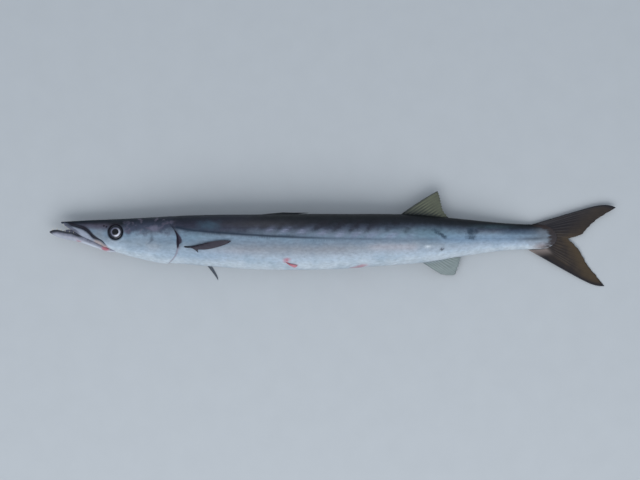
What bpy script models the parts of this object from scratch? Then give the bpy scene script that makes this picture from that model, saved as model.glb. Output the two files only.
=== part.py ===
"""A barracuda at life size, lying on its right flank as a caught fish is laid down.

The fish points along -X, its back is towards +Y and its left flank faces up, +Z.
Sizes are in millimetres, measured from the tip of the lower jaw: u runs back along the
fish, v up towards its back, w out towards its left side. place() turns them into metres.
"""

import math

import bmesh
import bpy
import numpy as np
from mathutils import Vector

MM = 0.001

# Driving sizes of the whole fish.
TOTAL_LENGTH = 800.0
BODY_SIDES = 28
NODE_GAP = 0.35
FLOOR = 0.0

# Where the body is parted.
SNOUT_TIP = 16.3
TRUNK_END = 490.0
STALK_END = 704.0
NAPE_SHEAR_START = 125.0
TRUNK_SHEAR_END = 225.0

# The head.
EYE_U, EYE_V, EYE_RADIUS = 94.0, 10.9, 10.6
EYE_DEPTH, EYE_SINK = 5.6, 3.5
NOSTRIL_RADIUS = 1.3
NOSTRILS = ((77.5, 19.8), (81.3, 18.4))
JAW_END = 84.0
PLATE_THICKNESS = 1.0
UPPER_TEETH = 6
LOWER_TEETH = 7
TOOTH_RADIUS = 0.62


def curve_through(*knots):
    """A smooth function through (place, value) knots, flat beyond its ends."""
    xs = np.array([k[0] for k in knots], float)
    ys = np.array([k[1] for k in knots], float)
    steps = np.diff(ys) / np.diff(xs)
    slopes = np.zeros(len(xs))
    slopes[0], slopes[-1] = steps[0], steps[-1]
    for i in range(1, len(xs) - 1):
        before, after = xs[i] - xs[i - 1], xs[i + 1] - xs[i]
        if steps[i - 1] * steps[i] > 0:
            slopes[i] = (steps[i - 1] * after + steps[i] * before) / (before + after)
            limit = 3 * min(abs(steps[i - 1]), abs(steps[i]))
            slopes[i] = math.copysign(min(abs(slopes[i]), limit), slopes[i])

    def value(x):
        x = min(max(x, xs[0]), xs[-1])
        i = min(int(np.searchsorted(xs, x, side="right")) - 1, len(xs) - 2)
        width = xs[i + 1] - xs[i]
        t = (x - xs[i]) / width
        return float(
            ys[i] * (1 + 2 * t) * (1 - t) ** 2
            + slopes[i] * width * t * (1 - t) ** 2
            + ys[i + 1] * t * t * (3 - 2 * t)
            + slopes[i + 1] * width * t * t * (t - 1)
        )

    return value


# Side view and thickness of the body, as (u, size) knots.
BACK = curve_through(
    (16, 25.6), (43, 26.9), (92, 28.9), (142, 31.6), (184, 34.0), (283, 35.8),
    (425, 36.5), (499, 36.4), (563, 31.5), (624, 25.5), (655, 23.1), (704, 21.8),
)
LIP_AND_BELLY = curve_through(
    (16, 23.8), (28, 16.4), (43, 6.9), (57, -1.4), (78, -12.4), (99, -18.6), (128, -26.6),
    (156, -32.0), (184, -33.6), (241, -38.5), (298, -42.1), (340, -42.5), (397, -41.6),
    (453, -37.7), (522, -32.6), (595, -21.0), (655, -13.7), (704, -12.8),
)
HALF_WIDTH = curve_through(
    (16, 1.3), (43, 5.6), (71, 9.0), (93, 12.4), (113, 15.4), (142, 19.8), (184, 25.3),
    (213, 28.0), (255, 30.3), (320, 31.0), (397, 30.2), (453, 28.0), (539, 22.2),
    (595, 17.0), (655, 10.0), (704, 3.4),
)
WIDEST_AT = curve_through(
    (16, 24.8), (28, 20.5), (43, 14.5), (71, 10.0), (113, 6.0), (184, 0.5), (255, -1.5),
    (340, -2.0), (453, 0.0), (595, 3.7), (704, 4.6),
)
MIDDLE_HEIGHT = curve_through(
    (0, 20.0), (71, 21.5), (142, 25.0), (184, 27.6), (213, 28.7), (255, 29.3), (320, 29.9),
    (397, 29.1), (453, 26.9), (539, 21.2), (595, 16.1), (655, 9.2), (680, 6.4), (704, 4.3),
)
BACK_SQUARENESS = curve_through((16, 2.1), (71, 2.8), (113, 2.7), (184, 2.2), (704, 2.0))
BELLY_SQUARENESS = curve_through((16, 2.2), (43, 3.4), (78, 3.0), (113, 2.0), (184, 2.0), (704, 2.0))
PALATE_ARCH = curve_through((16, 0.0), (28, 2.6), (43, 3.2), (57, 0.6), (60, 0.0))

# The rear edge of the gill covers in side view, as (v, u) knots.
GILL_EDGE = curve_through(
    (-34, 165.5), (-28.3, 171.5), (-22.7, 176), (-14, 179), (-6, 180), (4.3, 178.5),
    (14.2, 174.5), (20, 170.5), (27, 167), (35, 165),
)

# The lower jaw, as (u, size) knots.
JAW_TOP = curve_through(
    (0, 11.9), (4, 14.0), (11, 15.1), (18, 13.6), (25, 11.8), (33, 10.8), (38, 8.1), (43, 5.9),
    (57, -2.1), (71, -9.4), (84, -15.6),
)
JAW_BOTTOM = curve_through((0, 10.4), (7, 6.2), (21, 1.6), (43, -3.2), (64, -10.4), (84, -16.9))
JAW_HALF_WIDTH = curve_through((0, 1.2), (4, 3.2), (17, 4.9), (43, 6.6), (71, 9.4), (84, 10.2))
JAW_TROUGH = curve_through((2, 0.0), (10, 3.0), (30, 4.4), (43, 3.4), (50, 0.4), (52, 0.0))
TONGUE = curve_through((13, 0.0), (19, 3.4), (26, 7.4), (33, 7.6), (43, 5.0), (52, 0.6), (56, 0.0))

# The upper edge of the jaw plate that runs along the lip, as (u, v) knots.
PLATE_TOP = curve_through(
    (18, 24.4), (28, 20.3), (40, 17.2), (50, 13.6), (57, 8.4), (62, 3.0), (67, 0.6),
    (74, -2.6), (80, -8.6), (82, -10.6),
)

# The gill cover in side view: its front and rear edge, as (v, u) knots.
COVER_FRONT = curve_through((-27, 153), (-18, 144), (-4, 142), (8, 144), (15.5, 152))
COVER_REAR = curve_through((-27, 169), (-18, 178.5), (-10, 181), (-4, 186), (2, 183), (8, 179), (15.5, 169))
COVER_BOTTOM, COVER_TOP = -27.0, 15.5


def place(u, v, w):
    """The fish's own millimetres as metres, with the mid plane lying at its height."""
    return Vector(((u - TOTAL_LENGTH / 2) * MM, v * MM, max(w, FLOOR) * MM))


def power(value, exponent):
    return math.copysign(abs(value) ** exponent, value)


def body_point(u, turn):
    """A point of the skin. turn is 0 at the belly, 0.25 on the left, 0.5 on the back."""
    down, out = -math.cos(2 * math.pi * turn), math.sin(2 * math.pi * turn)
    top, bottom, waist, half = BACK(u), LIP_AND_BELLY(u), WIDEST_AT(u), HALF_WIDTH(u)
    share = 2 / (BACK_SQUARENESS(u) if down > 0 else BELLY_SQUARENESS(u))
    reach = top - waist if down > 0 else waist - bottom
    v = waist + power(down, share) * reach
    w = power(out, share) * half
    if down < 0:
        v += PALATE_ARCH(u) * max(0.0, 1 - (w / (0.6 * half)) ** 2)
    return u, v, MIDDLE_HEIGHT(u) + w


def jaw_point(u, turn):
    """A point of the lower jaw, whose upper side is a trough between the lips, with the tongue in it."""
    down, out = -math.cos(2 * math.pi * turn), math.sin(2 * math.pi * turn)
    top, bottom, half = JAW_TOP(u), JAW_BOTTOM(u), JAW_HALF_WIDTH(u)
    waist = top - 0.35 * (top - bottom)
    share = 2 / (3.2 if down > 0 else 2.1)
    v = waist + power(down, share) * (top - waist if down > 0 else waist - bottom)
    w = power(out, share) * half
    if down > 0:
        v -= min(JAW_TROUGH(u), 0.6 * (top - bottom)) * max(0.0, 1 - (w / (0.8 * half)) ** 2)
        v += TONGUE(u) * max(0.0, 1 - (w / (0.56 * half)) ** 2) ** 0.6
    return u, v, MIDDLE_HEIGHT(u) + w


def turn_at(u, v, side):
    """The turn of the skin point at height v on one flank: side is 1 left, -1 right."""
    waist = WIDEST_AT(u)
    up = v > waist
    reach = BACK(u) - waist if up else waist - LIP_AND_BELLY(u)
    squareness = BACK_SQUARENESS(u) if up else BELLY_SQUARENESS(u)
    level = min(abs(v - waist) / reach, 0.999) ** (squareness / 2)
    turn = 0.25 + math.copysign(math.asin(level), v - waist) / (2 * math.pi)
    return turn if side > 0 else 1 - turn


def skin_normal(u, turn):
    along = Vector(body_point(u + 1, turn)) - Vector(body_point(u - 1, turn))
    around = Vector(body_point(u, turn + 0.01)) - Vector(body_point(u, turn - 0.01))
    return along.cross(around).normalized()


def on_skin(u, v, side, above):
    """A point that far above the skin of one flank, over height v."""
    turn = turn_at(u, v, side)
    return Vector(body_point(u, turn)) + skin_normal(u, turn) * above


def new_material(name, colour, roughness, metallic=0.0):
    material = bpy.data.materials.new(name)
    material.use_nodes = True
    shader = material.node_tree.nodes["Principled BSDF"]
    shader.inputs["Base Color"].default_value = (*colour, 1)
    shader.inputs["Roughness"].default_value = roughness
    shader.inputs["Metallic"].default_value = metallic
    return material


def new_object(name, points, faces, material, collection):
    """A closed mesh, its origin at the middle of its box."""
    low = [min(p[i] for p in points) for i in range(3)]
    high = [max(p[i] for p in points) for i in range(3)]
    middle = Vector([(a + b) / 2 for a, b in zip(low, high)])
    mesh = bpy.data.meshes.new(name)
    mesh.from_pydata([Vector(p) - middle for p in points], [], faces)
    mesh.update()
    mesh.shade_smooth()
    mesh.materials.append(material)
    obj = bpy.data.objects.new(name, mesh)
    obj.location = middle
    collection.objects.link(obj)
    return obj


def loft(rings, front_tip, rear_tip):
    """Points and faces of a closed skin over rings of equal count, with a fan at each end."""
    sides = len(rings[0])
    points = [p for ring in rings for p in ring] + [front_tip, rear_tip]
    faces = []
    for i in range(len(rings) - 1):
        for j in range(sides):
            a, b = i * sides + j, i * sides + (j + 1) % sides
            faces.append((a, a + sides, b + sides, b))
    front, rear = len(points) - 2, len(points) - 1
    last = (len(rings) - 1) * sides
    for j in range(sides):
        after = (j + 1) % sides
        faces.append((j, after, front))
        faces.append((last + after, last + j, rear))
    return points, faces


def spread(start, end, count, gather=1.0):
    """Places from start to end, closer together at the start where gather is over 1."""
    return [start + (end - start) * (i / (count - 1)) ** gather for i in range(count)]


def ring_mean(ring):
    return sum((Vector(p) for p in ring), Vector()) / len(ring)


def swept_to_gill_edge(u, turn, past):
    """A head or trunk point moved along the body, so that the ring at the nape follows the gill edge."""
    nape = 172.0
    v = body_point(u, turn)[1]
    edge = GILL_EDGE(v) + past
    if u <= nape:
        share = max(0.0, (u - NAPE_SHEAR_START) / (nape - NAPE_SHEAR_START))
    else:
        share = max(0.0, (TRUNK_SHEAR_END - u) / (TRUNK_SHEAR_END - nape))
    return body_point(u + share * (edge - nape), turn)


def make_head(material, collection):
    rings = [
        [place(*swept_to_gill_edge(u, j / BODY_SIDES, 0.0)) for j in range(BODY_SIDES)]
        for u in spread(SNOUT_TIP + 0.6, 172.0, 28)
    ]
    tip = place(SNOUT_TIP, 24.9, MIDDLE_HEIGHT(SNOUT_TIP))
    return new_object("head", *loft(rings, tip, ring_mean(rings[-1])), material, collection)


def make_trunk(material, collection):
    places = [172.0] + spread(178.0, TRUNK_END, 26)
    rings = [
        [place(*swept_to_gill_edge(u, j / BODY_SIDES, 0.8)) for j in range(BODY_SIDES)]
        for u in places
    ]
    front = ring_mean(rings[0])
    return new_object("trunk", *loft(rings, front, ring_mean(rings[-1])), material, collection)


def make_tail_stalk(material, collection):
    rings = [
        [place(*body_point(u, j / BODY_SIDES)) for j in range(BODY_SIDES)]
        for u in spread(TRUNK_END + NODE_GAP, STALK_END, 20)
    ]
    return new_object(
        "tail_stalk", *loft(rings, ring_mean(rings[0]), ring_mean(rings[-1])), material, collection
    )


def make_lower_jaw(material, collection):
    sides = 24
    places = spread(0.5, JAW_END, 21, 1.25)
    rings = [[place(*jaw_point(u, j / sides)) for j in range(sides)] for u in places]
    tip = place(0.0, 11.3, MIDDLE_HEIGHT(0))
    return new_object("lower_jaw", *loft(rings, tip, ring_mean(rings[-1])), material, collection)


def eye_shape(name, side, grown, material, collection):
    """A round, flattened eyeball that faces out of the skin, with a steep rim that fills its socket."""
    mesh = bpy.data.meshes.new(name)
    ball = bmesh.new()
    bmesh.ops.create_uvsphere(ball, u_segments=24, v_segments=12, radius=1)
    for vert in ball.verts:
        flat = math.hypot(vert.co.x, vert.co.y)
        if flat > 1e-6:
            widen = flat ** (2 / 2.6) / flat
            vert.co.x *= widen * (EYE_RADIUS + grown) * MM
            vert.co.y *= widen * (EYE_RADIUS + grown) * MM
        vert.co.z = power(vert.co.z, 2 / 2.6) * (EYE_DEPTH + grown) * MM
    ball.to_mesh(mesh)
    ball.free()
    mesh.shade_smooth()
    obj = bpy.data.objects.new(name, mesh)
    if material:
        mesh.materials.append(material)
    obj.location = place(*on_skin(EYE_U, EYE_V, side, -EYE_SINK))
    facing = skin_normal(EYE_U, turn_at(EYE_U, EYE_V, side))
    obj.rotation_euler = facing.to_track_quat("Z", "Y").to_euler()
    collection.objects.link(obj)
    return obj


def sheet(name, point_at, rays, rows, root_thick, tip_thick, material, collection, ridged=True):
    """A fin or a plate as a thin closed sheet. point_at(c, t) is its middle: on a fin, c runs
    from the leading ray to the last and t from root to edge. Each ray is a ridge raised in
    both faces."""
    per_ray = 4 if ridged else 1
    columns = rays * per_ray + 1
    grid = [[Vector(point_at(i / (columns - 1), j / rows)) for j in range(rows + 1)] for i in range(columns)]

    def out_of(i, j):
        across = grid[min(i + 1, columns - 1)][j] - grid[max(i - 1, 0)][j]
        along = grid[i][min(j + 1, rows)] - grid[i][max(j - 1, 0)]
        return across.cross(along).normalized()

    def thickness(i, j):
        ray = root_thick + (tip_thick - root_thick) * (j / rows)
        if not ridged:
            return ray
        web = max(0.5, 0.5 * ray)
        crest = (1.0, 0.35, 0.0, 0.35)[i % per_ray]
        return web + (ray - web) * crest

    faces_up = 1 if out_of(columns // 2, rows // 2).z > 0 else -1
    front, back = [], []
    for i in range(columns):
        for j in range(rows + 1):
            half = out_of(i, j) * faces_up * thickness(i, j) / 2
            front.append(place(*(grid[i][j] + half)))
            back.append(place(*(grid[i][j] - half)))
    points = front + back
    under = len(front)

    def at(i, j):
        return i * (rows + 1) + j

    faces = []
    for i in range(columns - 1):
        for j in range(rows):
            a, b, c, d = at(i, j), at(i + 1, j), at(i + 1, j + 1), at(i, j + 1)
            faces += [(a, b, c), (a, c, d)]
            faces += [(a + under, c + under, b + under), (a + under, d + under, c + under)]
    border = [at(i, 0) for i in range(columns)]
    border += [at(columns - 1, j) for j in range(1, rows + 1)]
    border += [at(i, rows) for i in range(columns - 2, -1, -1)]
    border += [at(0, j) for j in range(rows - 1, 0, -1)]
    for k, a in enumerate(border):
        b = border[(k + 1) % len(border)]
        faces += [(b, a, a + under), (b, a + under, b + under)]
    obj = new_object(name, points, faces, material, collection)
    shape = bmesh.new()
    shape.from_mesh(obj.data)
    bmesh.ops.recalc_face_normals(shape, faces=shape.faces)
    if shape.calc_volume(signed=True) < 0:
        bmesh.ops.reverse_faces(shape, faces=shape.faces)
    shape.to_mesh(obj.data)
    shape.free()
    return obj


def mix(a, b, t):
    return a + (b - a) * t


def jaw_plate_point(side):
    """The long plate along the upper lip, from the snout to behind the corner of the mouth."""

    def point_at(c, t):
        u = mix(26.0, 80.0, c)
        v = mix(LIP_AND_BELLY(u), PLATE_TOP(u), mix(0.25, 1.0, t))
        return on_skin(u, v, side, NODE_GAP + 0.35 + PLATE_THICKNESS / 2)

    return point_at


def gill_cover_point(side):
    """The gill cover, a bony plate whose rear flap lies over the front of the trunk."""

    def point_at(c, t):
        v = mix(COVER_BOTTOM, COVER_TOP, t)
        return on_skin(mix(COVER_FRONT(v), COVER_REAR(v), c), v, side, NODE_GAP + PLATE_THICKNESS / 2)

    return point_at


# The tail fin: roots round the end of the stalk, ray ends along the rear edge.
TAIL_ROOT_U = curve_through((0, 682), (1 / 9, 704.8), (0.5, 704.8), (8 / 9, 704.8), (1, 677))
TAIL_ROOT_V = curve_through((0, 23.3), (1 / 9, 22.6), (0.5, 4.5), (8 / 9, -13.6), (1, -14.6))
UPPER_LOBE_U = curve_through((0, 800), (0.2, 784), (0.4, 771), (0.6, 760), (0.8, 751), (1, 732))
UPPER_LOBE_V = curve_through((0, 46.1), (0.2, 36.4), (0.4, 28.0), (0.6, 17.4), (0.8, 8.0), (1, 2.2))
LOWER_LOBE_U = curve_through((0, 732), (0.2, 745), (0.4, 753), (0.6, 761), (0.8, 772), (1, 784))
LOWER_LOBE_V = curve_through((0, 2.2), (0.2, -10.4), (0.4, -23.2), (0.6, -36.6), (0.8, -50.4), (1, -65.0))
UPPER_EDGE_BOW, LOWER_EDGE_BOW = 11.2, 8.2
TAIL_TIP_HEIGHT = curve_through((0, 6.5), (0.5, 3.2), (1, 1.0))


def tail_point(c, t):
    u0, v0 = TAIL_ROOT_U(c), TAIL_ROOT_V(c)
    if c < 0.5:
        u1, v1 = UPPER_LOBE_U(2 * c), UPPER_LOBE_V(2 * c)
    else:
        u1, v1 = LOWER_LOBE_U(2 * c - 1), LOWER_LOBE_V(2 * c - 1)
    bow = mix(UPPER_EDGE_BOW, LOWER_EDGE_BOW, c) * (1 - 2 * c) * t * (1 - t**9)
    away = Vector((u1 - u0, v1 - v0)).orthogonal().normalized()
    if away.y < 0:
        away = -away
    u, v = mix(u0, u1, t) + away.x * bow, mix(v0, v1, t) + away.y * bow
    return u, v, mix(MIDDLE_HEIGHT(u0), TAIL_TIP_HEIGHT(c), t)


# The second dorsal and the anal fin stand on the ridge of the back and of the belly.
DORSAL_EDGE_U = curve_through((0, 547), (0.2, 549.5), (0.5, 552), (0.8, 555.5), (1, 562))
DORSAL_EDGE_V = curve_through((0, 69.7), (0.2, 63.1), (0.5, 51.7), (0.8, 40.4), (1, 32.4))
ANAL_EDGE_U = curve_through((0, 552.5), (0.2, 562), (0.4, 570.5), (0.65, 575.5), (1, 580))
ANAL_EDGE_V = curve_through((0, -48.6), (0.2, -50.0), (0.4, -49.8), (0.65, -39.5), (1, -24.8))


def second_dorsal_point(c, t):
    u0 = mix(493.0, 555.5, c)
    v0 = BACK(u0) + NODE_GAP
    drop = mix(9.0, 1.0, c) * t * t
    bow = 1.2 * (1 - c) * 4 * t * (1 - t)
    return mix(u0, DORSAL_EDGE_U(c), t), mix(v0, DORSAL_EDGE_V(c), t) + bow, MIDDLE_HEIGHT(u0) - drop


def anal_point(c, t):
    u0 = mix(523.0, 568.0, c)
    v0 = LIP_AND_BELLY(u0) - NODE_GAP
    drop = mix(18.6, 5.0, c) * t * t
    return mix(u0, ANAL_EDGE_U(c), t), mix(v0, ANAL_EDGE_V(c), t), MIDDLE_HEIGHT(u0) - drop


# The first dorsal fin lies folded in its groove, a low ridge along the back.
FOLDED_EDGE_U = curve_through((0, 331), (0.25, 342), (0.5, 351), (0.75, 359), (1, 366))
FOLDED_RISE = curve_through((0, 2.3), (0.25, 2.0), (0.5, 1.9), (0.75, 1.8), (1, 1.4))


def first_dorsal_point(c, t):
    """The spiny fin, folded down along the back: its rays lean far back."""
    u = mix(mix(291.0, 334.0, c), FOLDED_EDGE_U(c), t)
    rise = mix(NODE_GAP, FOLDED_RISE(c), t)
    return u, BACK(u) + rise, MIDDLE_HEIGHT(u)


# The pectoral fins: the left one folded back along the flank, the right one spread on the
# surface that the fish lies on, with its tip showing below the belly.
PECTORAL_ROOT_U = 190.8
PECTORAL_ROOT_V = -9.2
PECTORAL_REACH = curve_through(
    (0, 67.5), (0.2, 63.5), (0.4, 55.5), (0.6, 43.2), (0.8, 30.2), (0.9, 20.7), (0.96, 19.6), (1, 19.3)
)
PECTORAL_DROP = curve_through(
    (0, 0.1), (0.2, 2.6), (0.4, 4.8), (0.6, 6.9), (0.8, 7.7), (0.9, 6.6), (0.96, 7.4), (1, 10.8)
)
PECTORAL_TOP = curve_through((0, 0.0), (0.16, 1.2), (0.34, -0.1), (0.56, -2.0), (0.73, -2.4), (0.88, -1.7), (1, 0.0))


def pectoral_outline(c, t):
    """The fin along its own axis: distance from the root, and distance below the first ray. The
    last ray stands loose from the rest."""
    loose = min(1.0, max(0.0, (c - 0.9) / 0.1))
    return PECTORAL_REACH(c) * t, mix(2.2 * c, PECTORAL_DROP(c), t ** (1.6 + 1.2 * loose))


def left_pectoral_point(c, t):
    along, below = pectoral_outline(c, t)
    below += (1 - c) * PECTORAL_TOP(t)
    lift = math.radians(6.3)
    u = PECTORAL_ROOT_U + along * math.cos(lift) + below * math.sin(lift)
    v = PECTORAL_ROOT_V + along * math.sin(lift) - below * math.cos(lift)
    return on_skin(u, v, 1, mix(NODE_GAP + 0.75, 2.2, t))


def right_pectoral_point(c, t):
    along, below = pectoral_outline(0.9 * c, t)
    along, below = 0.97 * along, 1.1 * below + 3.0 * (1 - c) * 4 * t * (1 - t)
    lift = math.radians(-47.0)
    u = PECTORAL_ROOT_U + 1.5 + along * math.cos(lift) - below * math.sin(lift)
    v = PECTORAL_ROOT_V + along * math.sin(lift) + below * math.cos(lift)
    root = on_skin(PECTORAL_ROOT_U + 1.5, PECTORAL_ROOT_V, -1, NODE_GAP + 1.15)
    return u, v, mix(root.z, 0.75, min(1.0, 1.6 * t))


# The length of the pelvic fins' rays, from the outer one inwards.
PELVIC_REACH = curve_through((0, 17.5), (0.5, 15.5), (1, 10.0))


def pelvic_point(side):
    """A pelvic fin, folded back against the belly."""

    def point_at(c, t):
        u = 332.0 + 3.2 * c + PELVIC_REACH(c) * t
        v = -31.2 - mix(2.2 * c, 3.0 * c, t) - 4.2 * t
        return on_skin(u, v, side, mix(NODE_GAP + 0.55, 1.1, t))

    return point_at


def tooth(base, tip, name, collection):
    """One conical tooth from its root, sunk in the jaw, to its tip."""
    axis = Vector(tip) - Vector(base)
    mesh = bpy.data.meshes.new(name)
    cone = bmesh.new()
    bmesh.ops.create_cone(
        cone, cap_ends=True, segments=6, radius1=TOOTH_RADIUS * MM, radius2=0.08 * MM, depth=axis.length
    )
    cone.to_mesh(mesh)
    cone.free()
    obj = bpy.data.objects.new(name, mesh)
    obj.location = (Vector(base) + Vector(tip)) / 2
    obj.rotation_euler = axis.to_track_quat("Z", "Y").to_euler()
    collection.objects.link(obj)


def make_teeth(collection, count, first, last, gum, half_width, direction, lengths):
    """A row of teeth along each side of a jaw, the foremost the longest."""
    for i in range(count):
        share = i / (count - 1)
        u = mix(first, last, share)
        out = 0.7 * half_width(u)
        for side in (1, -1):
            w = MIDDLE_HEIGHT(u) + side * out
            base = place(u, gum(u) - direction * 1.3, w)
            tip = place(u + 0.5, gum(u) + direction * mix(*lengths, share), w)
            tooth(base, tip, f"{collection.name}_{i}_{side}", collection)


def fuse(target, pieces):
    """Joins the pieces into the target and keeps its largest closed surface."""
    modifier = target.modifiers.new("fuse", "BOOLEAN")
    modifier.operation = "UNION"
    modifier.operand_type = "COLLECTION"
    modifier.collection = pieces
    bpy.context.view_layer.update()
    joined = bpy.data.meshes.new_from_object(target.evaluated_get(bpy.context.evaluated_depsgraph_get()))
    target.modifiers.remove(modifier)
    target.data = joined
    for obj in list(pieces.objects):
        bpy.data.objects.remove(obj)
    bpy.data.collections.remove(pieces)
    shape = bmesh.new()
    shape.from_mesh(joined)
    islands = []
    left = set(shape.verts)
    while left:
        island = {left.pop()}
        front = list(island)
        while front:
            for edge in front.pop().link_edges:
                for vert in edge.verts:
                    if vert in left:
                        left.discard(vert)
                        island.add(vert)
                        front.append(vert)
        islands.append(island)
    keep = max(islands, key=len)
    bmesh.ops.delete(shape, geom=[v for v in shape.verts if v not in keep], context="VERTS")
    shape.to_mesh(joined)
    shape.free()
    joined.shade_smooth()


def nostril(u, v, side, collection):
    """A ball that cuts one nostril's pit into the snout."""
    mesh = bpy.data.meshes.new("nostril")
    ball = bmesh.new()
    bmesh.ops.create_uvsphere(ball, u_segments=8, v_segments=5, radius=NOSTRIL_RADIUS * MM)
    ball.to_mesh(mesh)
    ball.free()
    obj = bpy.data.objects.new("nostril", mesh)
    obj.location = place(*on_skin(u, v, side, 0.2))
    collection.objects.link(obj)
    return obj


def cut(target, cutter):
    modifier = target.modifiers.new("cut_" + cutter.name, "BOOLEAN")
    modifier.operation = "DIFFERENCE"
    modifier.object = cutter


def main():
    for obj in list(bpy.data.objects):
        bpy.data.objects.remove(obj)
    fish = bpy.data.collections.new("barracuda")
    cutters = bpy.data.collections.new("cutters")
    bpy.context.scene.collection.children.link(fish)
    bpy.context.scene.collection.children.link(cutters)

    silver = new_material("silver_skin", (0.30, 0.36, 0.42), 0.35)
    jaw_skin = new_material("jaw_skin", (0.34, 0.34, 0.38), 0.45)
    eye_gloss = new_material("eye", (0.02, 0.02, 0.03), 0.08)
    dark_fin = new_material("dusky_fin", (0.06, 0.05, 0.045), 0.5)
    pale_fin = new_material("clear_fin", (0.22, 0.22, 0.18), 0.4)

    head = make_head(silver, fish)
    make_trunk(silver, fish)
    make_tail_stalk(silver, fish)
    jaw = make_lower_jaw(jaw_skin, fish)

    upper_teeth = bpy.data.collections.new("upper_teeth")
    lower_teeth = bpy.data.collections.new("lower_teeth")
    bpy.context.scene.collection.children.link(upper_teeth)
    bpy.context.scene.collection.children.link(lower_teeth)
    make_teeth(upper_teeth, UPPER_TEETH, 19.5, 38.0, LIP_AND_BELLY, HALF_WIDTH, -1, (2.6, 0.9))
    make_teeth(lower_teeth, LOWER_TEETH, 4.5, 34.0, JAW_TOP, JAW_HALF_WIDTH, 1, (3.0, 1.2))
    fuse(head, upper_teeth)
    fuse(jaw, lower_teeth)

    for side, word in ((1, "left"), (-1, "right")):
        eye_shape("eye_" + word, side, 0.0, eye_gloss, fish)
        cut(head, eye_shape("socket_" + word, side, NODE_GAP, None, cutters))
        for u, v in NOSTRILS:
            cut(head, nostril(u, v, side, cutters))
        plate = (PLATE_THICKNESS, PLATE_THICKNESS)
        sheet("jaw_plate_" + word, jaw_plate_point(side), 18, 3, *plate, jaw_skin, fish, ridged=False)
        sheet("gill_cover_" + word, gill_cover_point(side), 9, 8, *plate, silver, fish, ridged=False)

    sheet("caudal_fin", tail_point, 18, 7, 2.4, 0.7, dark_fin, fish)
    sheet("second_dorsal_fin", second_dorsal_point, 10, 4, 2.0, 0.6, pale_fin, fish)
    sheet("anal_fin", anal_point, 10, 4, 2.0, 0.6, pale_fin, fish)
    sheet("first_dorsal_fin", first_dorsal_point, 5, 3, 1.9, 1.0, dark_fin, fish)
    sheet("pectoral_fin_left", left_pectoral_point, 11, 6, 1.5, 0.6, dark_fin, fish)
    sheet("pectoral_fin_right", right_pectoral_point, 11, 6, 1.3, 0.6, dark_fin, fish)
    for side, word in ((1, "left"), (-1, "right")):
        sheet("pelvic_fin_" + word, pelvic_point(side), 6, 4, 1.1, 0.6, pale_fin, fish)

    for obj in cutters.objects:
        obj.hide_render = True
        obj.display_type = "WIRE"

    root = bpy.data.objects.new("barracuda_middle", None)
    fish.objects.link(root)
    for obj in list(fish.objects) + list(cutters.objects):
        if obj is not root:
            obj.parent = root
    centre_over_origin(root, fish)


def centre_over_origin(root, collection):
    """Moves the whole fish so that the middle of its box stands over the origin."""
    bpy.context.view_layer.update()
    corners = [
        obj.matrix_world @ Vector(corner)
        for obj in collection.objects
        if obj.type == "MESH"
        for corner in obj.bound_box
    ]
    for axis in (0, 1):
        values = [corner[axis] for corner in corners]
        root.location[axis] = -(min(values) + max(values)) / 2
    bpy.context.view_layer.update()


main()
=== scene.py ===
import math

import bpy
import numpy as np
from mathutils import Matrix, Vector


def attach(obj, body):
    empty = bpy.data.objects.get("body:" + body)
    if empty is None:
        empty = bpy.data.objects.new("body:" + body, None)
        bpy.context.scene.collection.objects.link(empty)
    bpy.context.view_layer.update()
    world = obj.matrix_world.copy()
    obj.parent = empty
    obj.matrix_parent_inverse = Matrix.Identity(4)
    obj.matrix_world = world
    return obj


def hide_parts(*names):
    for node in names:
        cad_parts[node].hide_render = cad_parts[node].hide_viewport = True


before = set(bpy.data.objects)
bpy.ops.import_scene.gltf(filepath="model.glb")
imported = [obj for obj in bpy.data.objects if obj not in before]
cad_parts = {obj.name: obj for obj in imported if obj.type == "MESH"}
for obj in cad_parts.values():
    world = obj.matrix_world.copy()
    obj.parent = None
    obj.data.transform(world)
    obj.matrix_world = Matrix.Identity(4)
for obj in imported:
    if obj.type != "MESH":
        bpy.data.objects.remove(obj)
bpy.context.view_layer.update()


# The wet skin of the head, trunk and tail stalk: one skin over firm flesh, very dark
# on the back, silver blue on the flank and white on the belly. It is a sheet of vertices
# wrapped round the fish, with the bony plates of the head raised in it.

# Sizes are in millimetres: u back from the tip of the lower jaw, v up towards the back and
# w out through the left flank. turn goes once round the fish, 0 at the belly, 0.5 on the back.
TOTAL_LENGTH = 800.0
REFERENCE_LINE_Y = -2.38
FLOOR_CLEARANCE = 0.05


def curve_through(*knots):
    """A smooth curve through its knots that never swings past them."""
    xs = np.array([k[0] for k in knots], float)
    ys = np.array([k[1] for k in knots], float)
    steps = np.diff(ys) / np.diff(xs)
    slopes = np.zeros(len(xs))
    slopes[0], slopes[-1] = steps[0], steps[-1]
    for i in range(1, len(xs) - 1):
        if steps[i - 1] * steps[i] > 0:
            before, after = xs[i] - xs[i - 1], xs[i + 1] - xs[i]
            slope = (steps[i - 1] * after + steps[i] * before) / (before + after)
            limit = 3 * min(abs(steps[i - 1]), abs(steps[i]))
            slopes[i] = math.copysign(min(abs(slope), limit), slope)

    def value(x):
        x = np.clip(np.asarray(x, float), xs[0], xs[-1])
        i = np.clip(np.searchsorted(xs, x, side="right") - 1, 0, len(xs) - 2)
        width = xs[i + 1] - xs[i]
        t = (x - xs[i]) / width
        return (
            ys[i] * (1 + 2 * t) * (1 - t) ** 2
            + slopes[i] * width * t * (1 - t) ** 2
            + ys[i + 1] * t * t * (3 - 2 * t)
            + slopes[i + 1] * width * t * t * (t - 1)
        )

    return value


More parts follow.
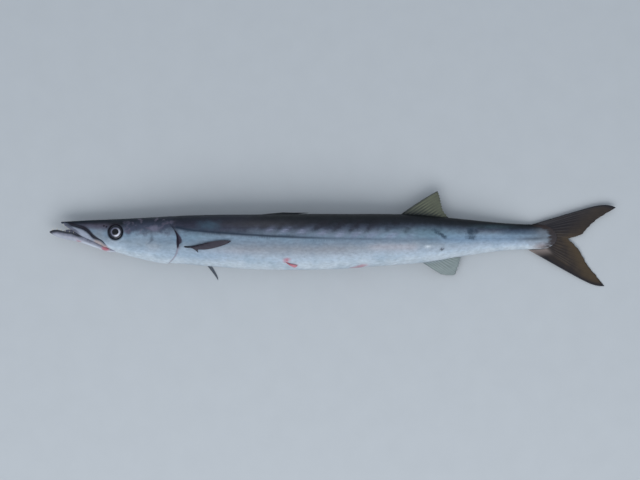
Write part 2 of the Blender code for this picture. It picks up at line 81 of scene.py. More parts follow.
BACK = curve_through(
    (16, 25.6), (43, 26.9), (92, 28.9), (142, 31.6), (184, 34.0), (283, 35.8),
    (425, 36.5), (499, 36.4), (563, 31.5), (624, 25.5), (655, 23.1), (704, 21.8),
)
LIP_AND_BELLY = curve_through(
    (16, 23.8), (28, 16.4), (43, 6.9), (57, -1.4), (78, -12.4), (99, -18.6), (128, -26.6),
    (156, -32.0), (184, -33.6), (241, -38.5), (298, -42.1), (340, -42.5), (397, -41.6),
    (453, -37.7), (522, -32.6), (595, -21.0), (655, -13.7), (704, -12.8),
)
HALF_WIDTH = curve_through(
    (16, 1.3), (43, 5.6), (71, 9.0), (93, 12.4), (113, 15.4), (142, 19.8), (184, 25.3),
    (213, 28.0), (255, 30.3), (320, 31.0), (397, 30.2), (453, 28.0), (539, 22.2),
    (595, 17.0), (640, 11.4), (670, 7.2), (690, 4.2), (700, 2.7), (707, 1.7), (713, 0.9),
    (718, 0.3),
)
WIDEST_AT = curve_through(
    (16, 24.8), (28, 20.5), (43, 14.5), (71, 10.0), (113, 6.0), (184, 0.5), (255, -1.5),
    (340, -2.0), (453, 0.0), (595, 3.7), (704, 4.6),
)
MIDDLE_HEIGHT = curve_through(
    (0, 20.0), (71, 21.5), (142, 25.0), (184, 27.6), (213, 28.7), (255, 29.3), (320, 29.9),
    (397, 29.1), (453, 26.9), (539, 21.2), (595, 16.1), (655, 9.2), (680, 6.4), (704, 4.3),
)
BACK_SQUARENESS = curve_through((16, 2.1), (71, 2.8), (113, 2.7), (184, 2.2), (704, 2.0))
BELLY_SQUARENESS = curve_through((16, 2.2), (43, 3.4), (78, 3.0), (113, 2.0), (184, 2.0), (704, 2.0))
PALATE_ARCH = curve_through((16, 0.0), (28, 2.6), (43, 3.2), (57, 0.6), (60, 0.0))
GILL_EDGE = curve_through(
    (-34, 166.5), (-28.3, 173), (-22.7, 177.5), (-14, 181), (-6, 182.2), (4.3, 181),
    (14.2, 176.5), (20, 172), (27, 168), (35, 165),
)
NAPE = 172.0
FLESH_END, END_MIDDLE, END_HALF_HEIGHT, END_DEPTH = 718.0, 4.5, 17.3, 17.0
JAW_PLATE_TOP = curve_through(
    (18, 24.4), (28, 20.3), (40, 17.2), (50, 13.6), (57, 8.4), (62, 3.0), (67, 0.6),
    (74, -2.6), (80, -8.6), (82, -10.6),
)
CHEEK_CREASE = curve_through((-8, 133), (-6, 138), (-3, 142), (0, 144), (10, 143), (20, 140))
LATERAL_LINE = curve_through(
    (176, 19.1), (198, 14.5), (220, 12.0), (255, 9.2), (298, 6.4), (340, 4.3), (397, 2.4),
    (446, 1.4), (496, 0.7), (553, 0.7), (638, 1.4), (687, 2.8),
)
SCALE_DEPTH = 0.2
FIRST_BAR, BAR_SPACING = 264.0, 25.0
DARK_LINE_BELOW = 0.8
EYE_U, EYE_V, EYE_RADIUS = 94.0, 10.9, 10.6
NOSTRILS = ((77.5, 19.8), (81.3, 18.4))


def to_frame(u, v, w):
    """Points in the frame's metres, none of them under the floor."""
    return np.stack(
        [
            (u - TOTAL_LENGTH / 2) / 1000,
            (v + REFERENCE_LINE_Y) / 1000,
            np.maximum(w, FLOOR_CLEARANCE) / 1000,
        ],
        axis=-1,
    )


def power(value, exponent):
    return np.sign(value) * np.abs(value) ** exponent


def rise(x, start, end):
    """0 before start, 1 after end, and smooth between them."""
    t = np.clip((x - start) / (end - start), 0, 1)
    return t * t * (3 - 2 * t)


def fall(x, start, end):
    return 1 - rise(x, start, end)


def between(x, start, full, fading, end):
    """1 from full to fading, and 0 before start and after end."""
    return rise(x, start, full) * fall(x, fading, end)


def bump(x, middle, half_width):
    return np.exp(-(((x - middle) / half_width) ** 2))


def body_section(u, turn):
    """v, and w from the middle plane, of the smooth body."""
    down, out = -np.cos(2 * np.pi * turn), np.sin(2 * np.pi * turn)
    top, bottom, waist, half = BACK(u), LIP_AND_BELLY(u), WIDEST_AT(u), HALF_WIDTH(u)
    share = 2 / np.where(down > 0, BACK_SQUARENESS(u), BELLY_SQUARENESS(u))
    v = waist + power(down, share) * np.where(down > 0, top - waist, waist - bottom)
    w = power(out, share) * half
    arch = PALATE_ARCH(u) * np.maximum(0, 1 - (w / (0.6 * half)) ** 2)
    return v + np.where(down < 0, arch, 0), w


def smooth_side(u, turn):
    """Points of the smooth body, in millimetres."""
    v, w = body_section(u, turn)
    return np.stack([u, v, MIDDLE_HEIGHT(u) + w], axis=-1)


def end_curve(v):
    """How far ahead of its middle the rounded end of the flesh lies at height v."""
    return END_DEPTH * np.minimum(1, np.abs((v - END_MIDDLE) / END_HALF_HEIGHT) ** 2.4)


def body_u(u, turn):
    """Moves a ring of the skin along the body, so that the ring at the nape follows the gill
    cover's edge and the last one the rounded end of the flesh on the tail fin."""
    v = body_section(u, turn)[0]
    share = np.where(u <= NAPE, rise(u, 120, NAPE), fall(u, NAPE, 226))
    return u + share * (GILL_EDGE(v) - NAPE) - rise(u, 668, FLESH_END) * end_curve(v)


def head_relief(u, v, w):
    """How far the bones, plates and pits of the head stand out of the smooth skin."""
    plate_top, lip = JAW_PLATE_TOP(u), LIP_AND_BELLY(u)
    on_plate = rise(v, lip - 0.2, lip + 0.8) * fall(v, plate_top - 1.4, plate_top + 0.3)
    on_plate = on_plate * between(u, 18, 24, 78.5, 81.5)
    out = 0.9 * on_plate
    out -= 0.9 * bump(v, plate_top + 1.4, 1.4) * between(u, 22, 34, 76, 84)
    out += 0.3 * on_plate * bump(v, plate_top - 2.6, 1.3) * rise(u, 40, 60)
    from_gill = u - GILL_EDGE(v)
    beside = fall(v, 17, 27)
    open_part = rise(v, -13, -5)
    out += (0.7 + 0.55 * open_part) * between(from_gill, -32, -3, -0.3, 0.5) * beside
    out -= (0.5 + 1.4 * open_part) * between(from_gill, -0.2, 0.6, 1.0, 9) * beside
    out -= 0.4 * bump(u, CHEEK_CREASE(v), 1.5) * between(v, -8, -3, 12, 21)
    out -= 0.15 * bump(v, -8.4 + 0.04 * (u - 130), 1.4) * between(u, 104, 112, 130, 139)
    for level in (-14.5, -18.0, -21.5):
        out -= 0.28 * bump(v, level - 0.22 * (u - 130), 0.8) * between(u, 104, 116, 150, 160)
    from_eye = np.hypot(u - EYE_U, v - EYE_V)
    out += 0.6 * bump(from_eye, 12.8, 1.5)
    out -= 3.2 * fall(from_eye, 9.0, 11.4)
    out += 0.5 * bump(v, 21.5 + 0.03 * (u - 80), 2.0) * between(u, 78, 88, 104, 118)
    for nostril_u, nostril_v in NOSTRILS:
        from_nostril = np.hypot(u - nostril_u, v - nostril_v)
        out += 0.3 * bump(from_nostril, 1.9, 0.6) - 1.5 * fall(from_nostril, 0.5, 1.5)
    ridge = bump(np.abs(w), 0.34 * HALF_WIDTH(u), 1.0) * rise(v, 18, 26)
    out += 0.45 * ridge * between(u, 30, 55, 120, 150)
    gums = fall(np.abs(w), 0.45 * HALF_WIDTH(u), 0.6 * HALF_WIDTH(u))
    gums = gums * fall(v, lip + 4, lip + 6)
    return out * (1 - gums * fall(u, 58, 64))


def body_relief(u, v):
    """The lateral line, the muscle under the skin and small dents of a fish that has been handled."""
    out = 0.28 * bump(v, LATERAL_LINE(u), 0.9) * between(u, 178, 190, 660, 690)
    waves = np.sin(u / 23 + v / 31) * np.sin(u / 57 - v / 17 + 1.3) + 0.6 * np.sin(u / 11 + v / 9)
    out += 0.14 * waves * between(u, 185, 230, 620, 690)
    return out + 0.5 * bump(v, -9.0, 5.0) * bump(u, 187, 5.0)


def skin_points(u, turn):
    """The skin's points in the frame, with its relief, and the u, v, w of each when smooth."""
    at = body_u(u, turn)
    v, w = body_section(at, turn)
    smooth = smooth_side(at, turn)
    out = np.cross(np.gradient(smooth, axis=0), np.gradient(smooth, axis=1))
    out /= np.maximum(np.linalg.norm(out, axis=-1, keepdims=True), 1e-9)
    height = head_relief(at, v, w) * fall(at, 188, 192) + body_relief(at, v)
    height -= SCALE_DEPTH * rise(at - GILL_EDGE(v), 2, 14) * fall(at, 680, 705)
    height = height * rise(at, 17.5, 24)
    moved = smooth + out * height[..., None]
    return to_frame(moved[..., 0], moved[..., 1], moved[..., 2]), at, v, w


def markings(u, v, w):
    """What the skin's colours follow, each from 0 to 1, alike on both flanks."""

    def dab(at_u, wide, at_v, tall):
        return bump(u, at_u, wide) * bump(v, at_v, tall)

    back, lip, plate_top = BACK(u), LIP_AND_BELLY(u), JAW_PLATE_TOP(u)
    height = np.clip((v - lip) / (back - lip), 0, 1)
    upper = v - LATERAL_LINE(u)
    wave = 0.5 + 0.5 * np.cos(2 * np.pi * (u - FIRST_BAR - upper + 2.5 * np.sin(u / 17)) / BAR_SPACING)
    bars = wave ** (1 + 1.6 * fall(upper, 4, 20)) * rise(upper, 4, 12)
    bars = bars * fall(height, 0.84, 0.95) * rise(u, 180, 196) * (0.78 + 0.22 * np.sin(u / 31 + 1))
    bars = bars * (0.45 + 0.55 * rise(u, 255, 300)) * (1 - 0.5 * rise(u, 490, 540)) * fall(u, 640, 690)
    # glints is a painted highlight: the silver flank drawn lighter and lilac between the bars, where it
    # catches the light.
    glints = (1 - wave) ** 1.5 * bump(upper, 8.0 - 3.5 * rise(u, 330, 420), 4.2)
    glints = glints * between(u, 275, 330, 480, 540)
    line = bump(upper, -DARK_LINE_BELOW, 1.85) * between(u, 174, 182, 684, 700)
    line = line * (1 - 0.45 * rise(u, 330, 420)) * (1 - 0.6 * between(u, 440, 500, 652, 672))
    shoulder = rise(upper, -1, 1.5) * between(u, 168, 182, 225, 320)
    nape = (0.62 * rise(v, -1, 17) + 0.38 * rise(v, 15, 20)) * between(u, 98, 112, 168, 184)
    nape += 0.5 * dab(112, 7, 11, 6)
    blotches = 0.8 * bump(u + 1.4 * v, 561, 6) * between(v, -1, 3, 16, 20)
    blotches += 0.75 * bump(u, 594, 11) * between(v, -5, 5, 15, 19)
    warm = bump(v, -14, 8) * between(u, 225, 275, 400, 470) + 0.8 * dab(71, 8, 10, 5)
    rosy = bump(v, -10.5, 5) * between(u, 440, 460, 512, 524) + 0.5 * dab(255, 30, -17, 3)
    teal = dab(530, 45, 9, 8) + 0.5 * dab(622, 28, 18.5, 3) + 0.5 * dab(212, 22, 5, 6)
    plate = fall(v, plate_top - 0.9, plate_top + 0.3) * between(u, 17, 22, 66, 72)
    # The groove is painted shade in the crease between the jaw plate and the cheek.
    thin = rise(u, 60, 73)
    spread = 2.2 - 1.1 * thin + 0.9 * bump(u, 56, 10)
    groove = 1.9 * bump(v, plate_top + 2.3 - 1.0 * thin, spread) * rise(u, 22, 34) * (1 - 0.35 * thin)
    groove = np.minimum(groove, 1) * fall(u, 76, 84)
    from_gill = u - GILL_EDGE(v)
    # The slit is painted shade in the gill opening behind the gill cover's edge.
    slit_width = 1.6 + 4.6 * between(v, -8, -3, -3, 15)
    slit_start = -0.4 - 1.6 * bump(v, -4, 7)
    slit = between(from_gill, slit_start, slit_start + 1.2, slit_width - 0.8, slit_width + 1.4)
    slit = slit * between(v, -14, -9, 11, 16)
    # Painted shade along the cheek crease, in the eye's socket round its rim and in the nostrils.
    crease = bump(u, CHEEK_CREASE(v) + 2.0, 2.6) * between(v, -8, -1, 8, 16)
    socket = bump(np.hypot(u - EYE_U, v - EYE_V), 10.5, 1.3)
    for nostril_u, nostril_v in NOSTRILS:
        socket = np.maximum(socket, bump(np.hypot(u - nostril_u, v - nostril_v), 0, 1.2))
    spot = fall(np.hypot((u - 552.5) / 1.3, v + 13.2), 1.0, 3.0)
    half = HALF_WIDTH(u)
    blush = 1.4 * dab(77, 5, -11, 3.8) + dab(334.5, 5, -29, 3.6) + 0.5 * dab(346, 6, -35.5, 3)
    blush += 0.75 * dab(436, 15, -38 + 0.22 * (u - 436), 2.6) + 0.2 * bump(from_gill, 5, 4) * bump(v, -12, 6)
    stained = rise(u - FLESH_END + end_curve(v) + 8 * rise(v, 14, 21), -24, -3)
    # dark gathers the painted shade of the head's hollows, and the one real dark spot on the flank.
    dark = np.maximum.reduce(
        [groove, 0.8 * slit * bump(from_gill, 0.6, 1.4), 0.40 * crease, socket, 0.9 * spot]
    )
    return {
        "height": height, "bars": bars, "glints": glints, "line": line, "shoulder": shoulder, "nape": nape,
        "blotches": blotches, "warm": warm, "rosy": rosy, "teal": teal, "plate": plate, "slit": slit,
        "patch": 0.9 * dab(226, 19, 20, 8),
        "lilac": dab(149, 9, 15.5, 5),
        # A painted highlight: a white glint on the lower flank, and a faint paler patch on the cheek.
        "fleck": dab(532.5, 4, -9.5, 1.7) + 0.16 * dab(124, 15, 0, 6),
        "blue": bump(v, 0.5, 6) * between(u, 530, 570, 650, 685),
        "stalk": bump(v, 10.5, 4) * between(u, 625, 650, 684, 694),
        "pale_end": bump(u, 699, 14) * between(v, -3, 3, 13, 20),
        "brown": dab(296, 60, 21.5, 6),
        "cool": dab(228, 40, -22, 8),
        "cheek": 1.15 * bump(v, 19, 5.5) * between(u, 36, 50, 78, 92),
        "gape": fall(v, lip + 3.6, lip + 5.4) * between(u, 19, 23, 38, 47),
        "hinge": fall(v, plate_top - 1.2, plate_top + 0.6) * between(u, 61, 67, 81, 89),
        "ridge": bump(v, back - 1.0, 4.2 + 5.0 * rise(u, 92, 110)) * fall(u, 215, 330),
        # Pinkish painted shade along the lower edge of the gill cover.
        "seam": bump(from_gill, 1.2, 1.6) * fall(v, -12, -6),
        "tan": dab(695, 14, -8.5, 5.5),
        "inside": fall(np.abs(w), 0.42 * half, 0.6 * half) * (v < lip + 5) * (u < 62),
        "stained": stained * (0.75 + 0.25 * rise(v, -9, 1)),
        "dark": np.clip(dark, 0, 1),
        "blush": np.clip(blush, 0, 1),
        "scaled": rise(from_gill, 4, 14) * fall(u, 690, 704),
        "along": u / 1000,
        "around": arc_share(u, v, w),
    }


def arc_share(u, v, w):
    """The distance round the body from the lateral side, in metres."""
    angle = np.arctan2(v - WIDEST_AT(u), np.abs(w) + 1e-6)
    return angle * (0.5 * (BACK(u) - LIP_AND_BELLY(u)) + HALF_WIDTH(u)) / 2000


def places_of(piece):
    flat = np.zeros(len(piece.data.vertices) * 3)
    piece.data.vertices.foreach_get("co", flat)
    return flat.reshape(-1, 3)


def keep_marks(piece, marks):
    """Keeps the marks' values at the vertices, where the piece's material reads them."""
    for label, values in marks.items():
        layer = piece.data.attributes.new(label, "FLOAT", "POINT")
        layer.data.foreach_set("value", values.astype(np.float32))


def turn_faces_out():
    bpy.ops.object.mode_set(mode="EDIT")
    bpy.ops.mesh.select_all(action="SELECT")
    bpy.ops.mesh.normals_make_consistent(inside=False)
    bpy.ops.object.mode_set(mode="OBJECT")


def wrapped_grid(name, columns, rows, shape):
    """A flat grid whose vertices are moved to shape(a, b), a and b from 0 to 1. Where its edges
    meet they are merged. shape gives the points and their marks."""
    bpy.ops.object.select_all(action="DESELECT")
    bpy.ops.mesh.primitive_grid_add(x_subdivisions=columns, y_subdivisions=rows, size=1)
    piece = bpy.context.object
    piece.name = name
    piece.data.name = name
    i, j = np.rint((places_of(piece)[:, :2] + 0.5) * (columns, rows)).astype(int).T
    a, b = np.meshgrid(np.linspace(0, 1, columns + 1), np.linspace(0, 1, rows + 1), indexing="ij")
    points, marks = shape(a, b)
    piece.data.vertices.foreach_set("co", points[i, j].ravel())
    keep_marks(piece, {label: np.broadcast_to(values, a.shape)[i, j] for label, values in marks.items()})
    bpy.ops.object.mode_set(mode="EDIT")
    bpy.ops.mesh.select_all(action="SELECT")
    bpy.ops.mesh.remove_doubles(threshold=0.000002)
    turn_faces_out()
    bpy.ops.object.shade_smooth()
    return piece


def skin_shape(a, b):
    u = np.interp(a, [0, 0.03, 0.45, 0.47, 0.55, 0.95, 1], [16.4, 20, 171.4, 174.4, 192, 690, FLESH_END])
    finer_on_top = 0.05 * (np.cos(2 * np.pi * b) - 1)
    points, at, v, w = skin_points(u, b + finer_on_top)
    points[0, :] = to_frame(np.array(16.3), np.array(24.9), MIDDLE_HEIGHT(16.3))
    points[-1, :] = points[-1, :].mean(axis=0)
    return points, markings(at, v, w)


skin = wrapped_grid("skin", 560, 176, skin_shape)


def colour(hex_code):
    """An sRGB hex value as linear colour."""
    channels = [int(hex_code[i : i + 2], 16) / 255 for i in (1, 3, 5)]
    linear = [c / 12.92 if c <= 0.04045 else ((c + 0.055) / 1.055) ** 2.4 for c in channels]
    return (*linear, 1)


def add_node(material, kind, inputs=None, stops=(), **settings):
    """Adds one node. An input is a value, a node whose first output is linked, (node, output),
    or the name of a mark kept at the vertices. stops are a colour ramp's places and colours."""
    node = material.node_tree.nodes.new("ShaderNode" + kind)
    for key, value in settings.items():
        setattr(node, key, value)
    for index, (place, code) in enumerate(stops):
        elements = node.color_ramp.elements
        stop = elements[index] if index < 2 else elements.new(place)
        stop.position, stop.color = place, colour(code)
    for key, value in (inputs or {}).items():
        if isinstance(value, str):
            value = (add_node(material, "Attribute", attribute_name=value), "Fac")
        if isinstance(value, bpy.types.Node):
            value = (value, 0)
        if isinstance(value, tuple) and isinstance(value[0], bpy.types.Node):
            material.node_tree.links.new(value[0].outputs[value[1]], node.inputs[key])
        else:
            node.inputs[key].default_value = value
    return node


def new_finish(name, settings):
    """A material, with the values that are the same all over it."""
    finish = bpy.data.materials.new(name)
    finish.use_nodes = True
    for socket, value in settings.items():
        finish.node_tree.nodes["Principled BSDF"].inputs[socket].default_value = value
    return finish


def feed(finish, socket, node, output=0):
    """Lets a node's output give one of the shader's values."""
    shader = finish.node_tree.nodes["Principled BSDF"]
    finish.node_tree.links.new(node.outputs[output], shader.inputs[socket])


def painted(material, base, coats):
    """Lays coats of (mask, hex colour, strength) over a base colour, in turn. A mask is a node
    or the name of a mark."""
    for mask, code, strength in coats:
        weight = {0: mask, 1: strength}
        amount = add_node(material, "Math", weight, operation="MULTIPLY", use_clamp=True)
        coat = {0: amount, 6: base, 7: colour(code)}
        base = (add_node(material, "Mix", coat, data_type="RGBA"), 2)
    return base


# Fish skin under a film of water and slime: the guanine under the scales gives a soft
# metallic silver, the pigment over it darkens the back, and the slime gives the gloss.
# Noise scales count grains in a metre: 26 are clouds of about 40 mm, 95 and 120 mottling of
# about 10 mm, and 240 to 330 the 3 to 4 mm of single scales and of streaks.
wet_skin = new_finish(
    "wet_fish_skin",
    {"Metallic": 0.12, "IOR": 1.38, "Specular IOR Level": 0.28, "Coat Weight": 0.1, "Coat Roughness": 0.2},
)
place = (add_node(wet_skin, "TexCoord"), "Object")
mottle = add_node(wet_skin, "TexNoise", {"Vector": place, "Scale": 95.0, "Detail": 6.0, "Roughness": 0.62})
ragged = add_node(wet_skin, "Math", {0: mottle, 1: 0.5}, operation="SUBTRACT")
uneven = add_node(
    wet_skin, "Math", {0: ragged, 1: 0.16, 2: "height"}, operation="MULTIPLY_ADD", use_clamp=True
)
pigment = add_node(
    wet_skin,
    "ValToRGB",
    {"Fac": uneven},
    stops=(
        (0.0, "#c6cfd6"), (1.0, "#0d1216"), (0.10, "#bdc8d1"), (0.17, "#aebcc9"), (0.26, "#9fabb8"),
        (0.36, "#929da8"), (0.46, "#8494a4"), (0.56, "#8b9fb1"), (0.63, "#7c8998"), (0.74, "#474d5c"),
        (0.83, "#252930"), (0.92, "#14191f"),
    ),
)
cloud = add_node(wet_skin, "TexNoise", {"Vector": place, "Scale": 26.0, "Detail": 3.0, "Roughness": 0.55})
blue_cloud = add_node(wet_skin, "MapRange", {"Value": cloud, "From Min": 0.45, "From Max": 0.62})
off_back = add_node(
    wet_skin,
    "MapRange",
    {"Value": "height", "From Min": 0.66, "From Max": 0.8, "To Min": 1.0, "To Max": 0.0},
)
blue_cast = add_node(wet_skin, "Math", {0: blue_cloud, 1: off_back}, operation="MULTIPLY")
skin_colour = painted(
    wet_skin,
    pigment,
    (
        (blue_cast, "#6b8aa0", 0.28), ("teal", "#6b8d99", 0.5), ("warm", "#88878c", 0.5),
        ("rosy", "#b3adb4", 0.5), ("cool", "#8299b0", 0.5), ("blue", "#90aecb", 0.5),
        ("stalk", "#3f5a70", 0.5), ("shoulder", "#39394a", 0.72), ("cheek", "#5d5766", 0.6),
        ("pale_end", "#747c85", 0.8),
    ),
)
# Marks in the pigment have torn edges: the noise eats into each where it fades. Where the
# skin runs out over the rays of the tail fin, the noise is drawn out along them.
drawn_out = add_node(wet_skin, "Mapping", {"Vector": place, "Scale": (0.18, 1.0, 1.0)})
streaks = add_node(
    wet_skin, "TexNoise", {"Vector": drawn_out, "Scale": 330.0, "Detail": 4.0, "Roughness": 0.6}
)
streaked = add_node(wet_skin, "Math", {0: streaks, 1: 0.5}, operation="SUBTRACT")
torn_marks = []
for mark, hex_code, strength, torn in (
    ("nape", "#484e60", 0.92, 1.5), ("lilac", "#8f8a9e", 0.48, 1.6), ("bars", "#29272f", 0.56, 1.1),
    ("blotches", "#2b3c4c", 0.8, 1.7), ("blush", "#b4596a", 0.85, 0.8), ("ridge", "#121c28", 0.9, 0.5),
    # The mark at the gill cover's lower edge is pinkish painted shade.
    ("patch", "#4f6d80", 0.6, 1.1), ("seam", "#8a7f8c", 0.7, 0.3), ("tan", "#8f8485", 0.85, 0.6),
    ("stained", "#3a3130", 0.95, 1.6),
):
    eater = streaked if mark == "stained" else ragged
    eaten = add_node(wet_skin, "Math", {0: eater, 1: torn, 2: mark}, operation="MULTIPLY_ADD")
    worn = add_node(
        wet_skin,
        "MapRange",
        {"Value": eaten, "From Min": 0.04 + 0.16 * torn, "From Max": 1.08 - 0.16 * torn},
    )
    torn_marks.append((worn, hex_code, strength))
skin_colour = painted(wet_skin, skin_colour, torn_marks)
bruise = add_node(wet_skin, "TexNoise", {"Vector": place, "Scale": 120.0, "Detail": 2.0})
bruised = add_node(wet_skin, "MapRange", {"Value": bruise, "From Min": 0.55, "From Max": 0.68})
pink_nape = add_node(wet_skin, "Math", {0: "nape", 1: bruised}, operation="MULTIPLY")
# sparks are painted glints too: small bright streaks of light laid over the glints.
sparking = add_node(wet_skin, "MapRange", {"Value": streaks, "From Min": 0.5, "From Max": 0.64})
sparks = add_node(wet_skin, "Math", {0: "glints", 1: sparking}, operation="MULTIPLY")
skin_colour = painted(
    wet_skin,
    skin_colour,
    (
        (pink_nape, "#7d7284", 0.45), ("brown", "#5b585c", 0.5), ("glints", "#8f92ac", 0.5),
        (sparks, "#adb4ca", 0.6), ("line", "#1f2b3c", 0.92), ("plate", "#a0a5b4", 0.85),
        ("gape", "#5d5f6e", 0.85), ("hinge", "#ad9d9a", 0.85), ("inside", "#6f565e", 0.85),
        # The last three coats: a painted white glint, painted shade in the gill opening, and painted shade
        # in the hollows of the head with one real dark spot.
        ("fleck", "#d5dde3", 0.8), ("slit", "#3b3040", 0.93), ("dark", "#1a1420", 0.94),
    ),
)
# Each few scales hold a little more or less silver than the next.
in_rows = add_node(wet_skin, "Mapping", {"Vector": place, "Scale": (0.55, 1.0, 1.0)})
speck = add_node(wet_skin, "TexNoise", {"Vector": in_rows, "Scale": 300.0, "Detail": 3.0, "Roughness": 0.55})
silvering = add_node(
    wet_skin, "MapRange", {"Value": speck, "From Min": 0.3, "From Max": 0.7, "To Min": 0.87, "To Max": 1.13}
)
speckled = add_node(wet_skin, "HueSaturation", {"Color": skin_colour, "Value": silvering})
feed(wet_skin, "Base Color", speckled)

# Fine relief of scales, 3 mm long and 2 mm high, for the skin that shows between the solid ones.
scale_place = add_node(wet_skin, "CombineXYZ", {"X": "along", "Y": "around"})
scale_size = add_node(wet_skin, "Mapping", {"Vector": scale_place, "Scale": (1.0, 1.45, 1.0)})
scale_cells = add_node(
    wet_skin,
    "TexVoronoi",
    {"Vector": scale_size, "Scale": 330.0, "Randomness": 0.35},
    voronoi_dimensions="2D",
)
scale_relief = add_node(wet_skin, "Math", {0: scale_cells, 1: "scaled"}, operation="MULTIPLY")
relief = add_node(
    wet_skin, "Bump", {"Height": scale_relief, "Strength": 0.35, "Distance": 0.0006}, invert=True
)
slime = add_node(wet_skin, "TexNoise", {"Vector": place, "Scale": 240.0, "Detail": 4.0})
fine = add_node(wet_skin, "Bump", {"Height": slime, "Strength": 0.12, "Distance": 0.0006, "Normal": relief})
feed(wet_skin, "Normal", fine)
gloss = add_node(wet_skin, "MapRange", {"Value": mottle, "To Min": 0.34, "To Max": 0.54})
dulled = add_node(wet_skin, "Math", {0: "dark", 1: 0.4, 2: gloss}, operation="MULTIPLY_ADD")
feed(wet_skin, "Roughness", dulled)
skin.data.materials.append(wet_skin)
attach(skin, "root")
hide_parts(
    "head", "trunk", "tail_stalk",
    "jaw_plate_left", "jaw_plate_right", "gill_cover_left", "gill_cover_right",
)


# The scales: thin clear plates of bone, a few mm long, set in staggered rows in the skin from
# the gills to the tail, each with its front end in the skin and its rear edge lifted over
# the next. One flat cone is the scale, its round base outwards and its point in the skin.
SCALE_ROWS = 60
SCALES_START, SCALES_END = 179.0, 699.0
SCALE_LENGTH, SCALE_HEIGHT = 1.7, 1.35
OWN_SHARE = 0.9
POINT_SUNK, FRONT_SUNK, REAR_LIFT, END_SUNK = 0.5, 0.12, 0.30, 0.25
BARE_UNDER, BARE_STRIP = 2.5, 2.1
BAKED_PATCH, BAKED_MARGIN = 0.003, 0.01


def girth(u):
    tall, wide = (BACK(u) - LIP_AND_BELLY(u)) / 2, HALF_WIDTH(u)
    return np.pi * (3 * (tall + wide) - np.sqrt((3 * tall + wide) * (tall + 3 * wide)))


stations = [SCALES_START]
while stations[-1] < SCALES_END:
    stations.append(stations[-1] + float(girth(stations[-1])) / SCALE_ROWS)

bpy.ops.object.select_all(action="DESELECT")
bpy.ops.mesh.primitive_cone_add(vertices=8, radius1=0.5 * OWN_SHARE, radius2=0, depth=0.2)
scales = bpy.context.object
scales.name = "scales"
scales.data.name = "scales"
for step, count in (((1.0, 0.0, 0.0), len(stations) - 1), ((0.0, 1.0, 0.0), SCALE_ROWS)):
    array = scales.modifiers.new("rows", "ARRAY")
    array.use_relative_offset = False
    array.use_constant_offset = True
    array.constant_offset_displace = step
    array.count = count
    bpy.ops.object.modifier_apply(modifier=array.name)
# Each scale's corners stay inside its own unit square, which tells its column and its row.
flat = places_of(scales)
column, row = np.floor(flat[:, 0] + 0.5), np.floor(flat[:, 1] + 0.5)
ahead, across = (flat[:, 0] - column) / OWN_SHARE, (flat[:, 1] - row) / OWN_SHARE
pointed = flat[:, 2] > 0
root_u = np.interp(column + 0.5 * (row % 2), np.arange(len(stations)), stations)
root_turn = row / SCALE_ROWS
u = root_u + ahead * SCALE_LENGTH * girth(root_u) / SCALE_ROWS
turn = root_turn + across * SCALE_HEIGHT / SCALE_ROWS


def smooth_skin(u, turn):
    return smooth_side(body_u(u, turn), turn)


out = np.cross(
    smooth_skin(u + 0.5, turn) - smooth_skin(u - 0.5, turn),
    smooth_skin(u, turn + 0.003) - smooth_skin(u, turn - 0.003),
)
out /= np.maximum(np.linalg.norm(out, axis=-1, keepdims=True), 1e-9)
spot = smooth_skin(u, turn)
lift = np.where(pointed, -POINT_SUNK, -FRONT_SUNK + REAR_LIFT * (ahead + 0.5))
lift = lift * rise(root_u, SCALES_START, 190)
height = body_relief(spot[:, 0], spot[:, 1]) - SCALE_DEPTH + lift
height -= END_SUNK * (fall(root_u, SCALES_START, 186) + rise(root_u, 690, SCALES_END))
spot += out * height[:, None]
scales.data.vertices.foreach_set("co", to_frame(spot[:, 0], spot[:, 1], spot[:, 2]).ravel())
at = body_u(u, turn)
v, w = body_section(at, turn)
keep_marks(scales, {**markings(at, v, w), "scaled": 0 * u})
# Each scale has its own small patch of the UV map.
bake_side = 1 - 2 * BAKED_MARGIN
bake_u = bake_side * (root_u - SCALES_START) / (SCALES_END + 5 - SCALES_START)
bake_u = BAKED_MARGIN + bake_u + BAKED_PATCH * ahead
bake_v = BAKED_MARGIN + bake_side * root_turn + BAKED_PATCH * across
corners = np.zeros(len(scales.data.loops), np.int32)
scales.data.loops.foreach_get("vertex_index", corners)
bake_places = np.stack([bake_u[corners], bake_v[corners]], axis=-1).astype(np.float32)
bake_map = scales.data.uv_layers.new(name="OFBake")
bake_map.data.foreach_set("uv", bake_places.ravel())
# None lie under the fish or over the lateral line, which shows clean between its neighbours.
root = smooth_skin(root_u, root_turn)
from_line = root[:, 1] - LATERAL_LINE(root[:, 0]) + DARK_LINE_BELOW
left_out = (root[:, 2] < BARE_UNDER) | (np.abs(from_line) < BARE_STRIP)
bpy.ops.object.mode_set(mode="EDIT")
bpy.ops.mesh.select_mode(type="VERT")
bpy.ops.mesh.select_all(action="DESELECT")
bpy.ops.object.mode_set(mode="OBJECT")
scales.data.vertices.foreach_set("select", left_out)
bpy.ops.object.mode_set(mode="EDIT")
bpy.ops.mesh.delete(type="VERT")
turn_faces_out()
bpy.ops.object.shade_flat()
scales.data.materials.append(wet_skin)
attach(scales, "root")


